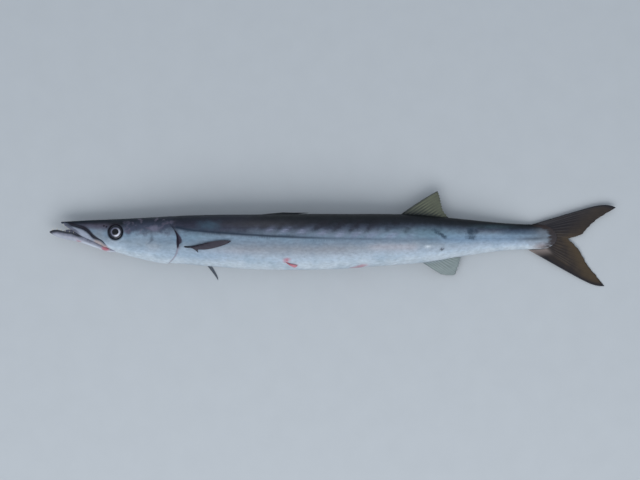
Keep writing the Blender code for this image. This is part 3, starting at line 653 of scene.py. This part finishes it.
# The lower jaw: a long bony scoop that reaches past the snout, with a dark lip that is partly
# its own dark rim and partly painted shade at the mouth, a pale outer side and the tongue lying
# in it. Its rear end sinks into the throat.
JAW_TOP = curve_through(
    (0, 11.9), (4, 14.0), (11, 15.1), (18, 13.6), (25, 11.8), (33, 10.8), (38, 8.5), (43, 6.6),
    (57, 1.0), (71, -5.6), (84, -11.6), (106, -15.0),
)
JAW_BOTTOM = curve_through(
    (0, 10.4), (7, 6.2), (21, 1.6), (43, -3.2), (64, -10.4), (84, -16.6), (92, -17.2), (106, -17.4)
)
JAW_HALF_WIDTH = curve_through(
    (0, 1.2), (4, 3.2), (17, 4.9), (43, 6.6), (71, 8.8), (84, 8.2), (94, 5.8), (106, 3.6)
)
JAW_TROUGH = curve_through((2, 0.0), (10, 3.0), (30, 4.4), (43, 3.4), (50, 0.4), (52, 0.0))
TONGUE = curve_through((13, 0.0), (19, 3.4), (26, 7.4), (33, 7.6), (43, 5.0), (52, 0.6), (56, 0.0))


def mix(a, b, t):
    return a + (b - a) * t


def jaw_shape(a, b):
    u = np.interp(a, [0, 0.08, 1], [0.15, 5, 106])
    down, out = -np.cos(2 * np.pi * b), np.sin(2 * np.pi * b)
    top, bottom, half = JAW_TOP(u), JAW_BOTTOM(u), JAW_HALF_WIDTH(u)
    waist = top - 0.35 * (top - bottom)
    share = 2 / np.where(down > 0, 3.2, 2.1)
    v = waist + power(down, share) * np.where(down > 0, top - waist, waist - bottom)
    w = power(out, share) * half
    trough = np.minimum(JAW_TROUGH(u), 0.6 * (top - bottom))
    trough = trough * np.maximum(0, 1 - (w / (0.8 * half)) ** 2)
    tongue = TONGUE(u) * np.maximum(0, 1 - (w / (0.56 * half)) ** 2) ** 0.6
    v = v + np.where(down > 0, tongue - trough, 0)
    w = w * (1 - 0.10 * bump(down, 0.45, 0.16) * between(u, 6, 18, 60, 80))
    points = to_frame(u, v, MIDDLE_HEIGHT(u) + w)
    points[0, :] = to_frame(np.array(0.0), np.array(11.3), MIDDLE_HEIGHT(0.0))
    points[-1, :] = points[-1, :].mean(axis=0)
    # The lip band: the jaw's own dark rim, with painted shade at the mouth under the upper jaw.
    rim = mix(3.6, 2.6, rise(u, 12, 24))
    lip = rise(v, top - rim - 2.4, top - rim + 0.8) * fall(u, 40, 50)
    lip = lip * rise(np.abs(w), 0.5 * half, 0.62 * half)
    blush = bump(u, 79, 5.5) * bump(v, -13, 5) + 0.5 * bump(u, 42, 5) * bump(v, -2.5, 3)
    return points, {
        "lip": np.maximum(lip, fall(u, 2, 7)),
        "inner": rise(down, 0.45, 0.65) * fall(np.abs(w), 0.52 * half, 0.66 * half),
        "belly": rise(-down, 0.2, 0.8) * (0.45 + 0.55 * rise(u, 30, 60)) * (1 - 0.35 * rise(u, 84, 96)),
        "blush": blush * rise(np.abs(w), 0.1 * half, 0.5 * half),
    }


jaw = wrapped_grid("lower_jaw_skin", 200, 96, jaw_shape)
# Wet skin close over bone: greyer and glossier than the flank, with smears of its own blood.
jaw_finish = new_finish(
    "wet_jaw_skin", {"Roughness": 0.36, "IOR": 1.4, "Coat Weight": 0.5, "Coat Roughness": 0.12}
)
place = (add_node(jaw_finish, "TexCoord"), "Object")
stain = add_node(jaw_finish, "TexNoise", {"Vector": place, "Scale": 160.0, "Detail": 5.0})
jaw_grey = add_node(jaw_finish, "ValToRGB", {"Fac": stain}, stops=((0.3, "#6c6f7e"), (0.7, "#8f90a0")))
smeared = add_node(jaw_finish, "Math", {0: stain, 1: 1.3, 2: "blush"}, operation="MULTIPLY_ADD")
blood_shown = add_node(jaw_finish, "MapRange", {"Value": smeared, "From Min": 0.82, "From Max": 1.4})
jaw_colour = painted(
    jaw_finish,
    jaw_grey,
    (
        ("belly", "#cdd3de", 0.95), (blood_shown, "#ad4f5e", 0.85), ("inner", "#5f6070", 0.97),
        # The dark lip coat holds the jaw's dark rim and painted shade at the mouth.
        ("lip", "#1a1e29", 0.95),
    ),
)
feed(jaw_finish, "Base Color", *jaw_colour)
grain = add_node(jaw_finish, "Bump", {"Height": stain, "Strength": 0.25, "Distance": 0.0006})
feed(jaw_finish, "Normal", grain)
jaw.data.materials.append(jaw_finish)
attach(jaw, "root")
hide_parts("lower_jaw")


# The teeth: slender ivory fangs of bone and enamel, one row along each side of both jaws,
# the foremost the longest. Each is a cone that is bent back a little and set in the gum.
TEETH_IN_ROW = 6
TOOTH_ROOT, TOOTH_RADIUS = 1.3, 0.62


def tooth(u, gum, out, length, direction):
    bpy.ops.object.select_all(action="DESELECT")
    whole = length + TOOTH_ROOT
    bpy.ops.mesh.primitive_cone_add(vertices=10, radius1=TOOTH_RADIUS, radius2=0.05, depth=whole)
    fang = bpy.context.object
    bpy.ops.object.mode_set(mode="EDIT")
    bpy.ops.mesh.select_all(action="SELECT")
    bpy.ops.mesh.subdivide(number_cuts=2)
    bpy.ops.object.mode_set(mode="OBJECT")
    for vertex in fang.data.vertices:
        share = vertex.co.z / whole + 0.5
        x = u + 0.8 * vertex.co.x + 0.9 * share * share
        y = gum + direction * (share * whole - TOOTH_ROOT)
        z = MIDDLE_HEIGHT(u) + out + 0.8 * vertex.co.y
        vertex.co = to_frame(x, y, z).tolist()
    return fang


fangs = []
for index in range(TEETH_IN_ROW):
    share = index / (TEETH_IN_ROW - 1)
    upper_u, lower_u = 19.5 + 18.5 * share, 4.5 + 29.5 * share
    for side in (1, -1):
        out = 0.7 * side * float(HALF_WIDTH(upper_u))
        fangs.append(tooth(upper_u, float(LIP_AND_BELLY(upper_u)), out, 2.6 - 1.7 * share, -1))
        out = 0.7 * side * float(JAW_HALF_WIDTH(lower_u))
        fangs.append(tooth(lower_u, float(JAW_TOP(lower_u)), out, 3.0 - 1.8 * share, 1))
bpy.ops.object.select_all(action="DESELECT")
for fang in fangs:
    fang.select_set(True)
bpy.context.view_layer.objects.active = fangs[0]
bpy.ops.object.join()
teeth = bpy.context.object
teeth.name = "teeth"
turn_faces_out()
bpy.ops.object.shade_smooth()
# Enamel: hard and ivory white, with a clean gloss.
enamel = new_finish("tooth_enamel", {"Roughness": 0.2, "IOR": 1.6})
place = (add_node(enamel, "TexCoord"), "Object")
tint = add_node(enamel, "TexNoise", {"Vector": place, "Scale": 500.0})
ivory = add_node(enamel, "ValToRGB", {"Fac": tint}, stops=((0.35, "#cfc7b4"), (0.65, "#e4dfd2")))
feed(enamel, "Base Color", ivory)
teeth.data.materials.append(enamel)
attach(teeth, "root")


# The eyes: a black pupil in a silver iris, with a dark outer ring, under a wet cornea.
# Each is a ball that is flattened, turned to face out of the skin and dished round the pupil.
EYE_THICKNESS, EYE_SUNK, EYE_ROUNDNESS = 5.6, 3.5, 2 / 2.6
LENS_BULGE, LENS_RADIUS = 0.5, 4.4
IRIS_DISH, IRIS_RADIUS = 0.35, 6.6


def eye_ball(name, side):
    level = float((EYE_V - WIDEST_AT(EYE_U)) / (BACK(EYE_U) - WIDEST_AT(EYE_U)))
    lean = math.asin(level ** (float(BACK_SQUARENESS(EYE_U)) / 2)) / (2 * math.pi)
    turn = 0.25 + lean if side > 0 else 0.75 - lean
    middle = smooth_side(EYE_U, turn)
    along = smooth_side(EYE_U + 1, turn) - smooth_side(EYE_U - 1, turn)
    around = smooth_side(EYE_U, turn + 0.01) - smooth_side(EYE_U, turn - 0.01)
    facing = Vector(np.cross(along, around)).normalized()
    bpy.ops.object.select_all(action="DESELECT")
    bpy.ops.mesh.primitive_uv_sphere_add(segments=64, ring_count=48, radius=1)
    ball = bpy.context.object
    ball.name = name
    turned = facing.to_track_quat("Z", "Y").to_matrix()
    rings, shine = [], []
    for vertex in ball.data.vertices:
        flat = math.hypot(vertex.co.x, vertex.co.y)
        widen = flat**EYE_ROUNDNESS / flat if flat > 1e-6 else 1.0
        x, y = vertex.co.x * widen * EYE_RADIUS, vertex.co.y * widen * EYE_RADIUS
        z = math.copysign(abs(vertex.co.z) ** EYE_ROUNDNESS, vertex.co.z) * EYE_THICKNESS
        from_axis = math.hypot(x, y)
        if z > 0:
            z += LENS_BULGE * math.exp(-((from_axis / LENS_RADIUS) ** 4))
            z -= IRIS_DISH * float(bump(from_axis, IRIS_RADIUS, 1.8))
        spot = Vector(middle) + turned @ Vector((x, y, z - EYE_SUNK))
        toward_tail, toward_belly = spot.x - middle[0], middle[1] - spot.y
        # shine places the painted highlight on the iris, towards the tail and the belly.
        shine.append(0.5 + 0.5 * (0.85 * toward_tail + 0.5 * toward_belly) / max(from_axis, 1e-6))
        rings.append(math.hypot(toward_tail, 1.06 * toward_belly) / EYE_RADIUS)
        vertex.co = to_frame(*[np.array(c) for c in spot]).tolist()
    keep_marks(ball, {"ring": np.array(rings), "shine": np.array(shine)})
    bpy.ops.object.shade_smooth()
    return ball


# A wet eye: a clear hard gloss over a black pupil and the soft silver of the iris, which has a
# painted highlight that makes it brightest towards the tail and the belly.
eye_finish = new_finish(
    "wet_eye",
    {
        "Metallic": 0.2, "Roughness": 0.25, "Specular IOR Level": 0.3,
        "Coat Weight": 0.3, "Coat Roughness": 0.04,
    },
)
place = (add_node(eye_finish, "TexCoord"), "Object")
flecks = add_node(eye_finish, "TexNoise", {"Vector": place, "Scale": 420.0, "Detail": 5.0})
shift = add_node(eye_finish, "Math", {0: flecks, 1: 0.5}, operation="SUBTRACT")
spread = add_node(eye_finish, "Math", {0: shift, 1: 0.10, 2: "ring"}, operation="MULTIPLY_ADD")
iris = add_node(
    eye_finish,
    "ValToRGB",
    {"Fac": spread},
    stops=(
        (0.0, "#02040a"), (1.0, "#1b1e2a"), (0.42, "#04060f"), (0.455, "#5d5c6d"), (0.53, "#77788b"),
        (0.60, "#5f6173"), (0.66, "#2b2e3b"), (0.72, "#151824"),
    ),
)
silver = add_node(
    eye_finish,
    "ValToRGB",
    {"Fac": spread},
    stops=((0.42, "#000000"), (0.72, "#000000"), (0.47, "#ffffff"), (0.60, "#ffffff")),
)
# The silver of the iris is lighter where the painted highlight falls.
lit = add_node(eye_finish, "MapRange", {"Value": "shine", "From Min": 0.35, "From Max": 1.0})
bright = add_node(eye_finish, "Math", {0: silver, 1: lit}, operation="MULTIPLY")
iris_colour = painted(eye_finish, iris, ((bright, "#d3d5e0", 0.9),))
feed(eye_finish, "Base Color", *iris_colour)
for side, word in ((1, "left"), (-1, "right")):
    ball = eye_ball("eyeball_" + word, side)
    ball.data.materials.append(eye_finish)
    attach(ball, "root")
    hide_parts("eye_" + word)


# The tail fin: a deep fork of branched bony rays with thin skin between them, stiff along
# its two leading edges. The membrane and its rays are one closed sheet, with each ray raised
# in both faces, and its root lies in the end of the tail stalk.
def fin_shape(middle, rays, thickness, web_share, root_ray=1.0, leading=0.03, trailing=0.018):
    """A closed sheet over middle(c, t), c from the leading to the last ray, t from root to edge."""

    def shape(a, b):
        front = a <= 0.5
        c = np.where(front, 2 * a, 2 - 2 * a)

        def place(c_step, b_step):
            return np.stack(middle(np.clip(c + c_step, 0, 1), np.clip(b + b_step, 0, 1)), axis=-1)

        step = 1e-3
        normal = np.cross(place(step, 0) - place(-step, 0), place(0, step) - place(0, -step))
        normal /= np.maximum(np.linalg.norm(normal, axis=-1, keepdims=True), 1e-12)
        ray = np.abs(np.cos(np.pi * rays * c)) ** 3
        branch = np.abs(np.cos(2 * np.pi * rays * c)) ** 3
        ray = mix(ray, np.maximum(0.7 * ray, 0.8 * branch), rise(b, 0.45, 0.8))
        ray = ray * mix(root_ray, 1.0, rise(b, 0.05, 0.4))
        edge = np.maximum(bump(c, 0, leading), bump(c, 1, trailing))
        size = mix(*thickness, b) * mix(web_share + (1 - web_share) * ray, 1.15, edge)
        closed = between(c, 0, 0.008, 0.992, 1) * between(b, 0, 0.01, 0.985, 1)
        moved = place(0, 0) + normal * (np.where(front, 0.5, -0.5) * size * closed)[..., None]
        return to_frame(moved[..., 0], moved[..., 1], moved[..., 2]), {
            "ray": ray,
            "reach": b,
            "edge": edge,
            "tan": rise(c, 0.72, 0.92) * fall(b, 0.0, 0.21),
            "soot": fall(c, 0.25, 0.5) * (1 - 0.5 * rise(b, 0.3, 0.9)),
            "gold": rise(b, 0.55, 0.95) * (1 - edge) * (0.35 + 0.65 * rise(c, 0.35, 0.6)),
        }

    return shape


TAIL_RAYS = 18
TAIL_ROOT_U = curve_through((0, 680), (1 / 9, 699), (0.5, 701), (8 / 9, 699), (1, 675))
TAIL_ROOT_V = curve_through((0, 22.0), (1 / 9, 21.0), (0.5, 4.5), (8 / 9, -12.0), (1, -13.4))
UPPER_LOBE_U = curve_through((0, 800), (0.2, 784), (0.4, 771), (0.6, 760), (0.8, 751), (1, 732))
UPPER_LOBE_V = curve_through((0, 46.1), (0.2, 36.4), (0.4, 28.0), (0.6, 17.4), (0.8, 8.0), (1, 2.2))
LOWER_LOBE_U = curve_through((0, 732), (0.2, 745), (0.4, 753), (0.6, 761), (0.8, 772), (1, 784))
LOWER_LOBE_V = curve_through((0, 2.2), (0.2, -10.4), (0.4, -23.2), (0.6, -36.6), (0.8, -50.4), (1, -65.0))
TAIL_TIP_HEIGHT = curve_through((0, 6.5), (0.5, 3.2), (1, 1.0))


def tail_middle(c, t):
    u0, v0 = TAIL_ROOT_U(c), TAIL_ROOT_V(c)
    upper = c < 0.5
    u1 = np.where(upper, UPPER_LOBE_U(2 * c), LOWER_LOBE_U(2 * c - 1))
    v1 = np.where(upper, UPPER_LOBE_V(2 * c), LOWER_LOBE_V(2 * c - 1))
    bow = mix(11.2, 8.2, c) * (1 - 2 * c) * t * (1 - t**9)
    length = np.hypot(u1 - u0, v1 - v0)
    away_u, away_v = -(v1 - v0) / length, (u1 - u0) / length
    frayed = 0.35 * np.cos(2 * np.pi * TAIL_RAYS * c) + 0.5 * np.sin(23 * c) * np.sin(51 * c)
    frayed = frayed * t**6 * between(c, 0.03, 0.1, 0.9, 0.97)
    u = mix(u0, u1, t) + away_u * bow + frayed
    v = mix(v0, v1, t) + away_v * bow
    return u, v, mix(MIDDLE_HEIGHT(u0), TAIL_TIP_HEIGHT(c), t) + 0.35 * np.sin(9 * c + 3 * t) * t


def ribbed_skin(name, web, ray_colour, edge_colour, root_colour, root_reach, segments, patches=()):
    """Thin wet fin skin over bony rays: it takes a soft gloss, is darker or paler along the
    rays, and shows the joints of each ray as fine cross lines."""
    finish = new_finish(
        name,
        {
            "Roughness": 0.46, "IOR": 1.36, "Specular IOR Level": 0.3,
            "Coat Weight": 0.12, "Coat Roughness": 0.2,
        },
    )
    place = (add_node(finish, "TexCoord"), "Object")
    cloud = add_node(finish, "TexNoise", {"Vector": place, "Scale": 110.0, "Detail": 6.0})
    tone = add_node(finish, "ValToRGB", {"Fac": cloud}, stops=((0.3, web[0]), (0.7, web[1])))
    near = add_node(
        finish, "MapRange", {"Value": "reach", "From Max": root_reach, "To Min": 1.0, "To Max": 0.0}
    )
    coats = [("ray", ray_colour, 0.75), (near, root_colour, 0.85), ("edge", edge_colour, 0.9)]
    tone = painted(finish, tone, coats + list(patches))
    feed(finish, "Base Color", *tone)
    joints = add_node(finish, "Math", {0: "reach", 1: segments}, operation="MULTIPLY")
    saw = add_node(finish, "Math", {0: joints, 1: 1.0}, operation="PINGPONG")
    lines = add_node(finish, "Math", {0: saw, 1: "ray"}, operation="MULTIPLY")
    relief = add_node(finish, "Bump", {"Height": lines, "Strength": 0.3, "Distance": 0.0004})
    feed(finish, "Normal", relief)
    return finish


dusky_skin = ribbed_skin(
    "wet_dusky_fin_skin", ("#332c2a", "#463b31"), "#2a2524", "#171922", "#2b2729", 0.4, 60.0,
    (("gold", "#5c4c34", 0.5), ("soot", "#1e1d24", 0.8), ("tan", "#938680", 0.88)),
)
tail_shape = fin_shape(tail_middle, TAIL_RAYS, (2.4, 0.5), 0.62, 0.25, 0.03, 0.04)
tail = wrapped_grid("tail_fin", 432, 60, tail_shape)
tail.data.materials.append(dusky_skin)
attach(tail, "root")
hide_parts("caudal_fin")


# The second dorsal and the anal fin: short soft-rayed fins, olive and half clear. Each
# stands on the ridge of the back or the belly and droops towards the ground at its tip.
SOFT_RAYS = 10
DORSAL_EDGE_U = curve_through((0, 547), (0.2, 549.5), (0.5, 552), (0.8, 555.5), (1, 562))
DORSAL_EDGE_V = curve_through((0, 69.7), (0.2, 63.1), (0.5, 51.7), (0.8, 40.4), (1, 32.4))
ANAL_EDGE_U = curve_through((0, 552.5), (0.2, 562), (0.4, 570.5), (0.65, 575.5), (1, 580))
ANAL_EDGE_V = curve_through((0, -48.6), (0.2, -50.0), (0.4, -49.8), (0.65, -39.5), (1, -24.8))


def fraying(c, t):
    return 0.6 * np.cos(2 * np.pi * SOFT_RAYS * c) * t**6 * rise(c, 0.03, 0.1)


def second_dorsal_middle(c, t):
    u0 = mix(493.0, 555.5, c)
    v0 = BACK(u0) - 2.0
    drop = mix(9.0, 1.0, c) * t * t
    bow = 1.2 * (1 - c) * 4 * t * (1 - t)
    u = mix(u0, DORSAL_EDGE_U(c), t) + fraying(c, t)
    v = mix(v0, DORSAL_EDGE_V(c) - 0.5, t) + bow
    return u, v, MIDDLE_HEIGHT(u0) - drop + 0.5 * np.sin(8 * c + 2 * t) * t


def anal_middle(c, t):
    u0 = mix(523.0, 568.0, c)
    v0 = LIP_AND_BELLY(u0) + 2.0
    drop = mix(18.6, 5.0, c) * t * t
    u = mix(u0, ANAL_EDGE_U(c), t) + fraying(c, t)
    return u, mix(v0, ANAL_EDGE_V(c) + 0.3, t), MIDDLE_HEIGHT(u0) - drop


olive_skin = ribbed_skin(
    "wet_olive_fin_skin", ("#484d45", "#5a5f52"), "#7f8069", "#262a2c", "#2d3238", 0.45, 34.0
)
pale_skin = ribbed_skin(
    "wet_pale_fin_skin", ("#75807f", "#86918f"), "#97a1a1", "#6d777a", "#8f9ba3", 0.25, 34.0
)
for name, rows_out, middle, finish in (
    ("second_dorsal", 36, second_dorsal_middle, olive_skin), ("anal", 32, anal_middle, pale_skin)
):
    fin = wrapped_grid(name, 176, rows_out, fin_shape(middle, SOFT_RAYS, (2.0, 0.5), 0.35))
    fin.data.materials.append(finish)
    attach(fin, "root")
    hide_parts(name + "_fin")


# The first dorsal fin: five spines with a thin web, folded down along the back, so that it
# shows as a low dark ridge.
SPINES = 5
FOLDED_EDGE_U = curve_through((0, 331), (0.25, 342), (0.5, 351), (0.75, 359), (1, 366))
FOLDED_RISE = curve_through((0, 2.3), (0.25, 2.0), (0.5, 1.9), (0.75, 1.8), (1, 1.4))


def first_dorsal_middle(c, t):
    u = mix(mix(291.0, 334.0, c), FOLDED_EDGE_U(c), t)
    return u, BACK(u) + mix(-1.0, FOLDED_RISE(c), t), MIDDLE_HEIGHT(u) + 0.3 * np.sin(12 * c) * t


spine_skin = ribbed_skin(
    "wet_spiny_fin_skin", ("#2c2f33", "#383b40"), "#4a4c50", "#23262a", "#262b31", 0.2, 10.0
)
first_dorsal = wrapped_grid("first_dorsal", 120, 24, fin_shape(first_dorsal_middle, SPINES, (1.9, 0.9), 0.4))
first_dorsal.data.materials.append(spine_skin)
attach(first_dorsal, "root")
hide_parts("first_dorsal_fin")


# The pectoral fins: dark brown paddles behind the gills. The left one is folded back along
# the flank, the right one is spread on the ground with its tip showing below the belly.
PECTORAL_RAYS = 11
PECTORAL_ROOT_U = 190.8
PECTORAL_ROOT_V = -9.2
PECTORAL_REACH = curve_through(
    (0, 67.5), (0.2, 63.5), (0.4, 55.5), (0.6, 43.2), (0.8, 30.2), (0.9, 20.7), (0.96, 19.6),
    (1, 19.3),
)
PECTORAL_DROP = curve_through(
    (0, 0.1), (0.2, 2.6), (0.4, 4.8), (0.6, 6.9), (0.8, 7.7), (0.9, 6.6), (0.96, 7.4), (1, 10.8)
)
PECTORAL_TOP = curve_through(
    (0, 0.0), (0.16, 1.2), (0.34, -0.1), (0.56, -2.0), (0.73, -2.4), (0.88, -1.7), (1, 0.0)
)


def on_flank(u, v, side, above):
    """Points that far above the skin of one flank, over height v."""
    waist = WIDEST_AT(u)
    up = v > waist
    reach = np.where(up, BACK(u) - waist, waist - LIP_AND_BELLY(u))
    square = np.where(up, BACK_SQUARENESS(u), BELLY_SQUARENESS(u))
    lean = np.arcsin(np.minimum(np.abs(v - waist) / reach, 0.999) ** (square / 2)) / (2 * np.pi)
    turn = 0.25 + np.where(up, lean, -lean)
    turn = turn if side > 0 else 1 - turn
    along = smooth_side(u + 1, turn) - smooth_side(u - 1, turn)
    around = smooth_side(u, turn + 0.01) - smooth_side(u, turn - 0.01)
    out = np.cross(along, around)
    out /= np.linalg.norm(out, axis=-1, keepdims=True)
    spot = smooth_side(u, turn) + out * np.asarray(above)[..., None]
    return spot[..., 0], spot[..., 1], spot[..., 2]


def pectoral_outline(c, t):
    """How far along and below its axis a point of the fin lies. The last ray stands loose."""
    frayed = 0.3 * np.cos(2 * np.pi * PECTORAL_RAYS * c) * t**6 * rise(c, 0.05, 0.2)
    below = mix(1.6 * c, PECTORAL_DROP(c), t ** (1.6 + 1.2 * rise(c, 0.9, 1.0)))
    return PECTORAL_REACH(c) * t + frayed, below


def left_pectoral_middle(c, t):
    along, below = pectoral_outline(c, t)
    below = below + (1 - c) * PECTORAL_TOP(t)
    lift = math.radians(6.3)
    u = PECTORAL_ROOT_U + along * math.cos(lift) + below * math.sin(lift)
    v = PECTORAL_ROOT_V + along * math.sin(lift) - below * math.cos(lift)
    return on_flank(u, v, 1, mix(-0.2, 2.2, rise(t, 0, 0.4)))


def right_pectoral_middle(c, t):
    along, below = pectoral_outline(0.9 * c, t)
    along, below = 0.97 * along, 1.1 * below + 3.0 * (1 - c) * 4 * t * (1 - t)
    lift = math.radians(-47.0)
    u = PECTORAL_ROOT_U + 1.5 + along * math.cos(lift) - below * math.sin(lift)
    v = PECTORAL_ROOT_V + along * math.sin(lift) + below * math.cos(lift)
    return u, v, mix(2.0, 0.75, np.minimum(1, 1.6 * t)) + 0 * v


brown_skin = ribbed_skin(
    "wet_brown_fin_skin", ("#3b3742", "#4a4650"), "#2f2b34", "#25242c", "#151a26", 0.2, 40.0
)
grey_skin = ribbed_skin(
    "wet_grey_fin_skin", ("#5d636c", "#6c737b"), "#474b54", "#2e313a", "#3a3e48", 0.3, 40.0
)
for word, middle, finish in (
    ("left", left_pectoral_middle, brown_skin), ("right", right_pectoral_middle, grey_skin)
):
    paddle = fin_shape(middle, PECTORAL_RAYS, (1.4, 0.5), 0.4)
    pectoral = wrapped_grid("pectoral_" + word, 176, 36, paddle)
    pectoral.data.materials.append(finish)
    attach(pectoral, "root")
    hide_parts("pectoral_fin_" + word)


# The pelvic fins: a small pair of soft-rayed fins, folded back against the belly and
# flushed with blood.
PELVIC_RAYS = 6
PELVIC_REACH = curve_through((0, 17.5), (0.5, 15.5), (1, 10.0))


def pelvic_middle(side):
    def middle(c, t):
        u = 332.0 + 3.2 * c + PELVIC_REACH(c) * t
        v = -31.2 - mix(2.2 * c, 3.0 * c, t) - 4.2 * t
        return on_flank(u, v, side, mix(-0.3, 1.1, rise(t, 0, 0.4)))

    return middle


blushed_skin = ribbed_skin(
    "wet_blushed_fin_skin", ("#b3626e", "#c7848f"), "#cf9fa8", "#a5606c", "#ab5261", 0.6, 24.0
)
for side, word in ((1, "left"), (-1, "right")):
    pelvic_shape = fin_shape(pelvic_middle(side), PELVIC_RAYS, (1.1, 0.45), 0.45)
    pelvic = wrapped_grid("pelvic_" + word, 96, 24, pelvic_shape)
    pelvic.data.materials.append(blushed_skin)
    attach(pelvic, "root")
    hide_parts("pelvic_fin_" + word)


# The studio: a plain pale floor, one large soft light like a window on the belly side, even
# light from the room, and the camera looking down on the fish.
bpy.ops.object.select_all(action="DESELECT")
bpy.ops.mesh.primitive_plane_add(size=8, location=(0, 0, 0))
floor = bpy.context.object
floor.name = "studio_floor"
# Matt studio paper: an even pale grey with no shine of its own.
paper = new_finish("pale_studio_paper", {"Roughness": 0.9})
place = (add_node(paper, "TexCoord"), "Object")
fibres = add_node(paper, "TexNoise", {"Vector": place, "Scale": 30.0})
paper_tone = add_node(paper, "ValToRGB", {"Fac": fibres}, stops=((0.3, "#c4c8cb"), (0.7, "#c6cacd")))
feed(paper, "Base Color", paper_tone)
floor.data.materials.append(paper)

CAMERA_TARGET = Vector((-0.0187, -0.0023, 0.012))
CAMERA_DISTANCE = 3.767
CAMERA_ELEVATION = math.radians(89)
camera_data = bpy.data.cameras.new("camera")
camera_data.lens = 150
camera_data.sensor_width = 36
camera = bpy.data.objects.new("camera", camera_data)
direction = Vector((0, -math.cos(CAMERA_ELEVATION), math.sin(CAMERA_ELEVATION)))
camera.location = CAMERA_TARGET + direction * CAMERA_DISTANCE
camera.rotation_euler = (-direction).to_track_quat("-Z", "Y").to_euler()
bpy.context.scene.collection.objects.link(camera)
bpy.context.scene.camera = camera

lamp_data = bpy.data.lights.new("window_light", "AREA")
lamp_data.shape = "RECTANGLE"
lamp_data.size, lamp_data.size_y = 3.4, 2.0
lamp_data.energy = 40
lamp_data.color = (0.98, 0.99, 1.0)
lamp = bpy.data.objects.new("window_light", lamp_data)
lamp.location = (-0.1, -1.75, 1.9)
lamp.rotation_euler = (-lamp.location).to_track_quat("-Z", "Y").to_euler()
bpy.context.scene.collection.objects.link(lamp)

room = bpy.data.worlds.new("studio_room")
room.use_nodes = True
room.node_tree.nodes["Background"].inputs["Color"].default_value = colour("#c4cdd8")
room.node_tree.nodes["Background"].inputs["Strength"].default_value = 0.85
bpy.context.scene.world = room
bpy.context.scene.view_settings.view_transform = "Standard"
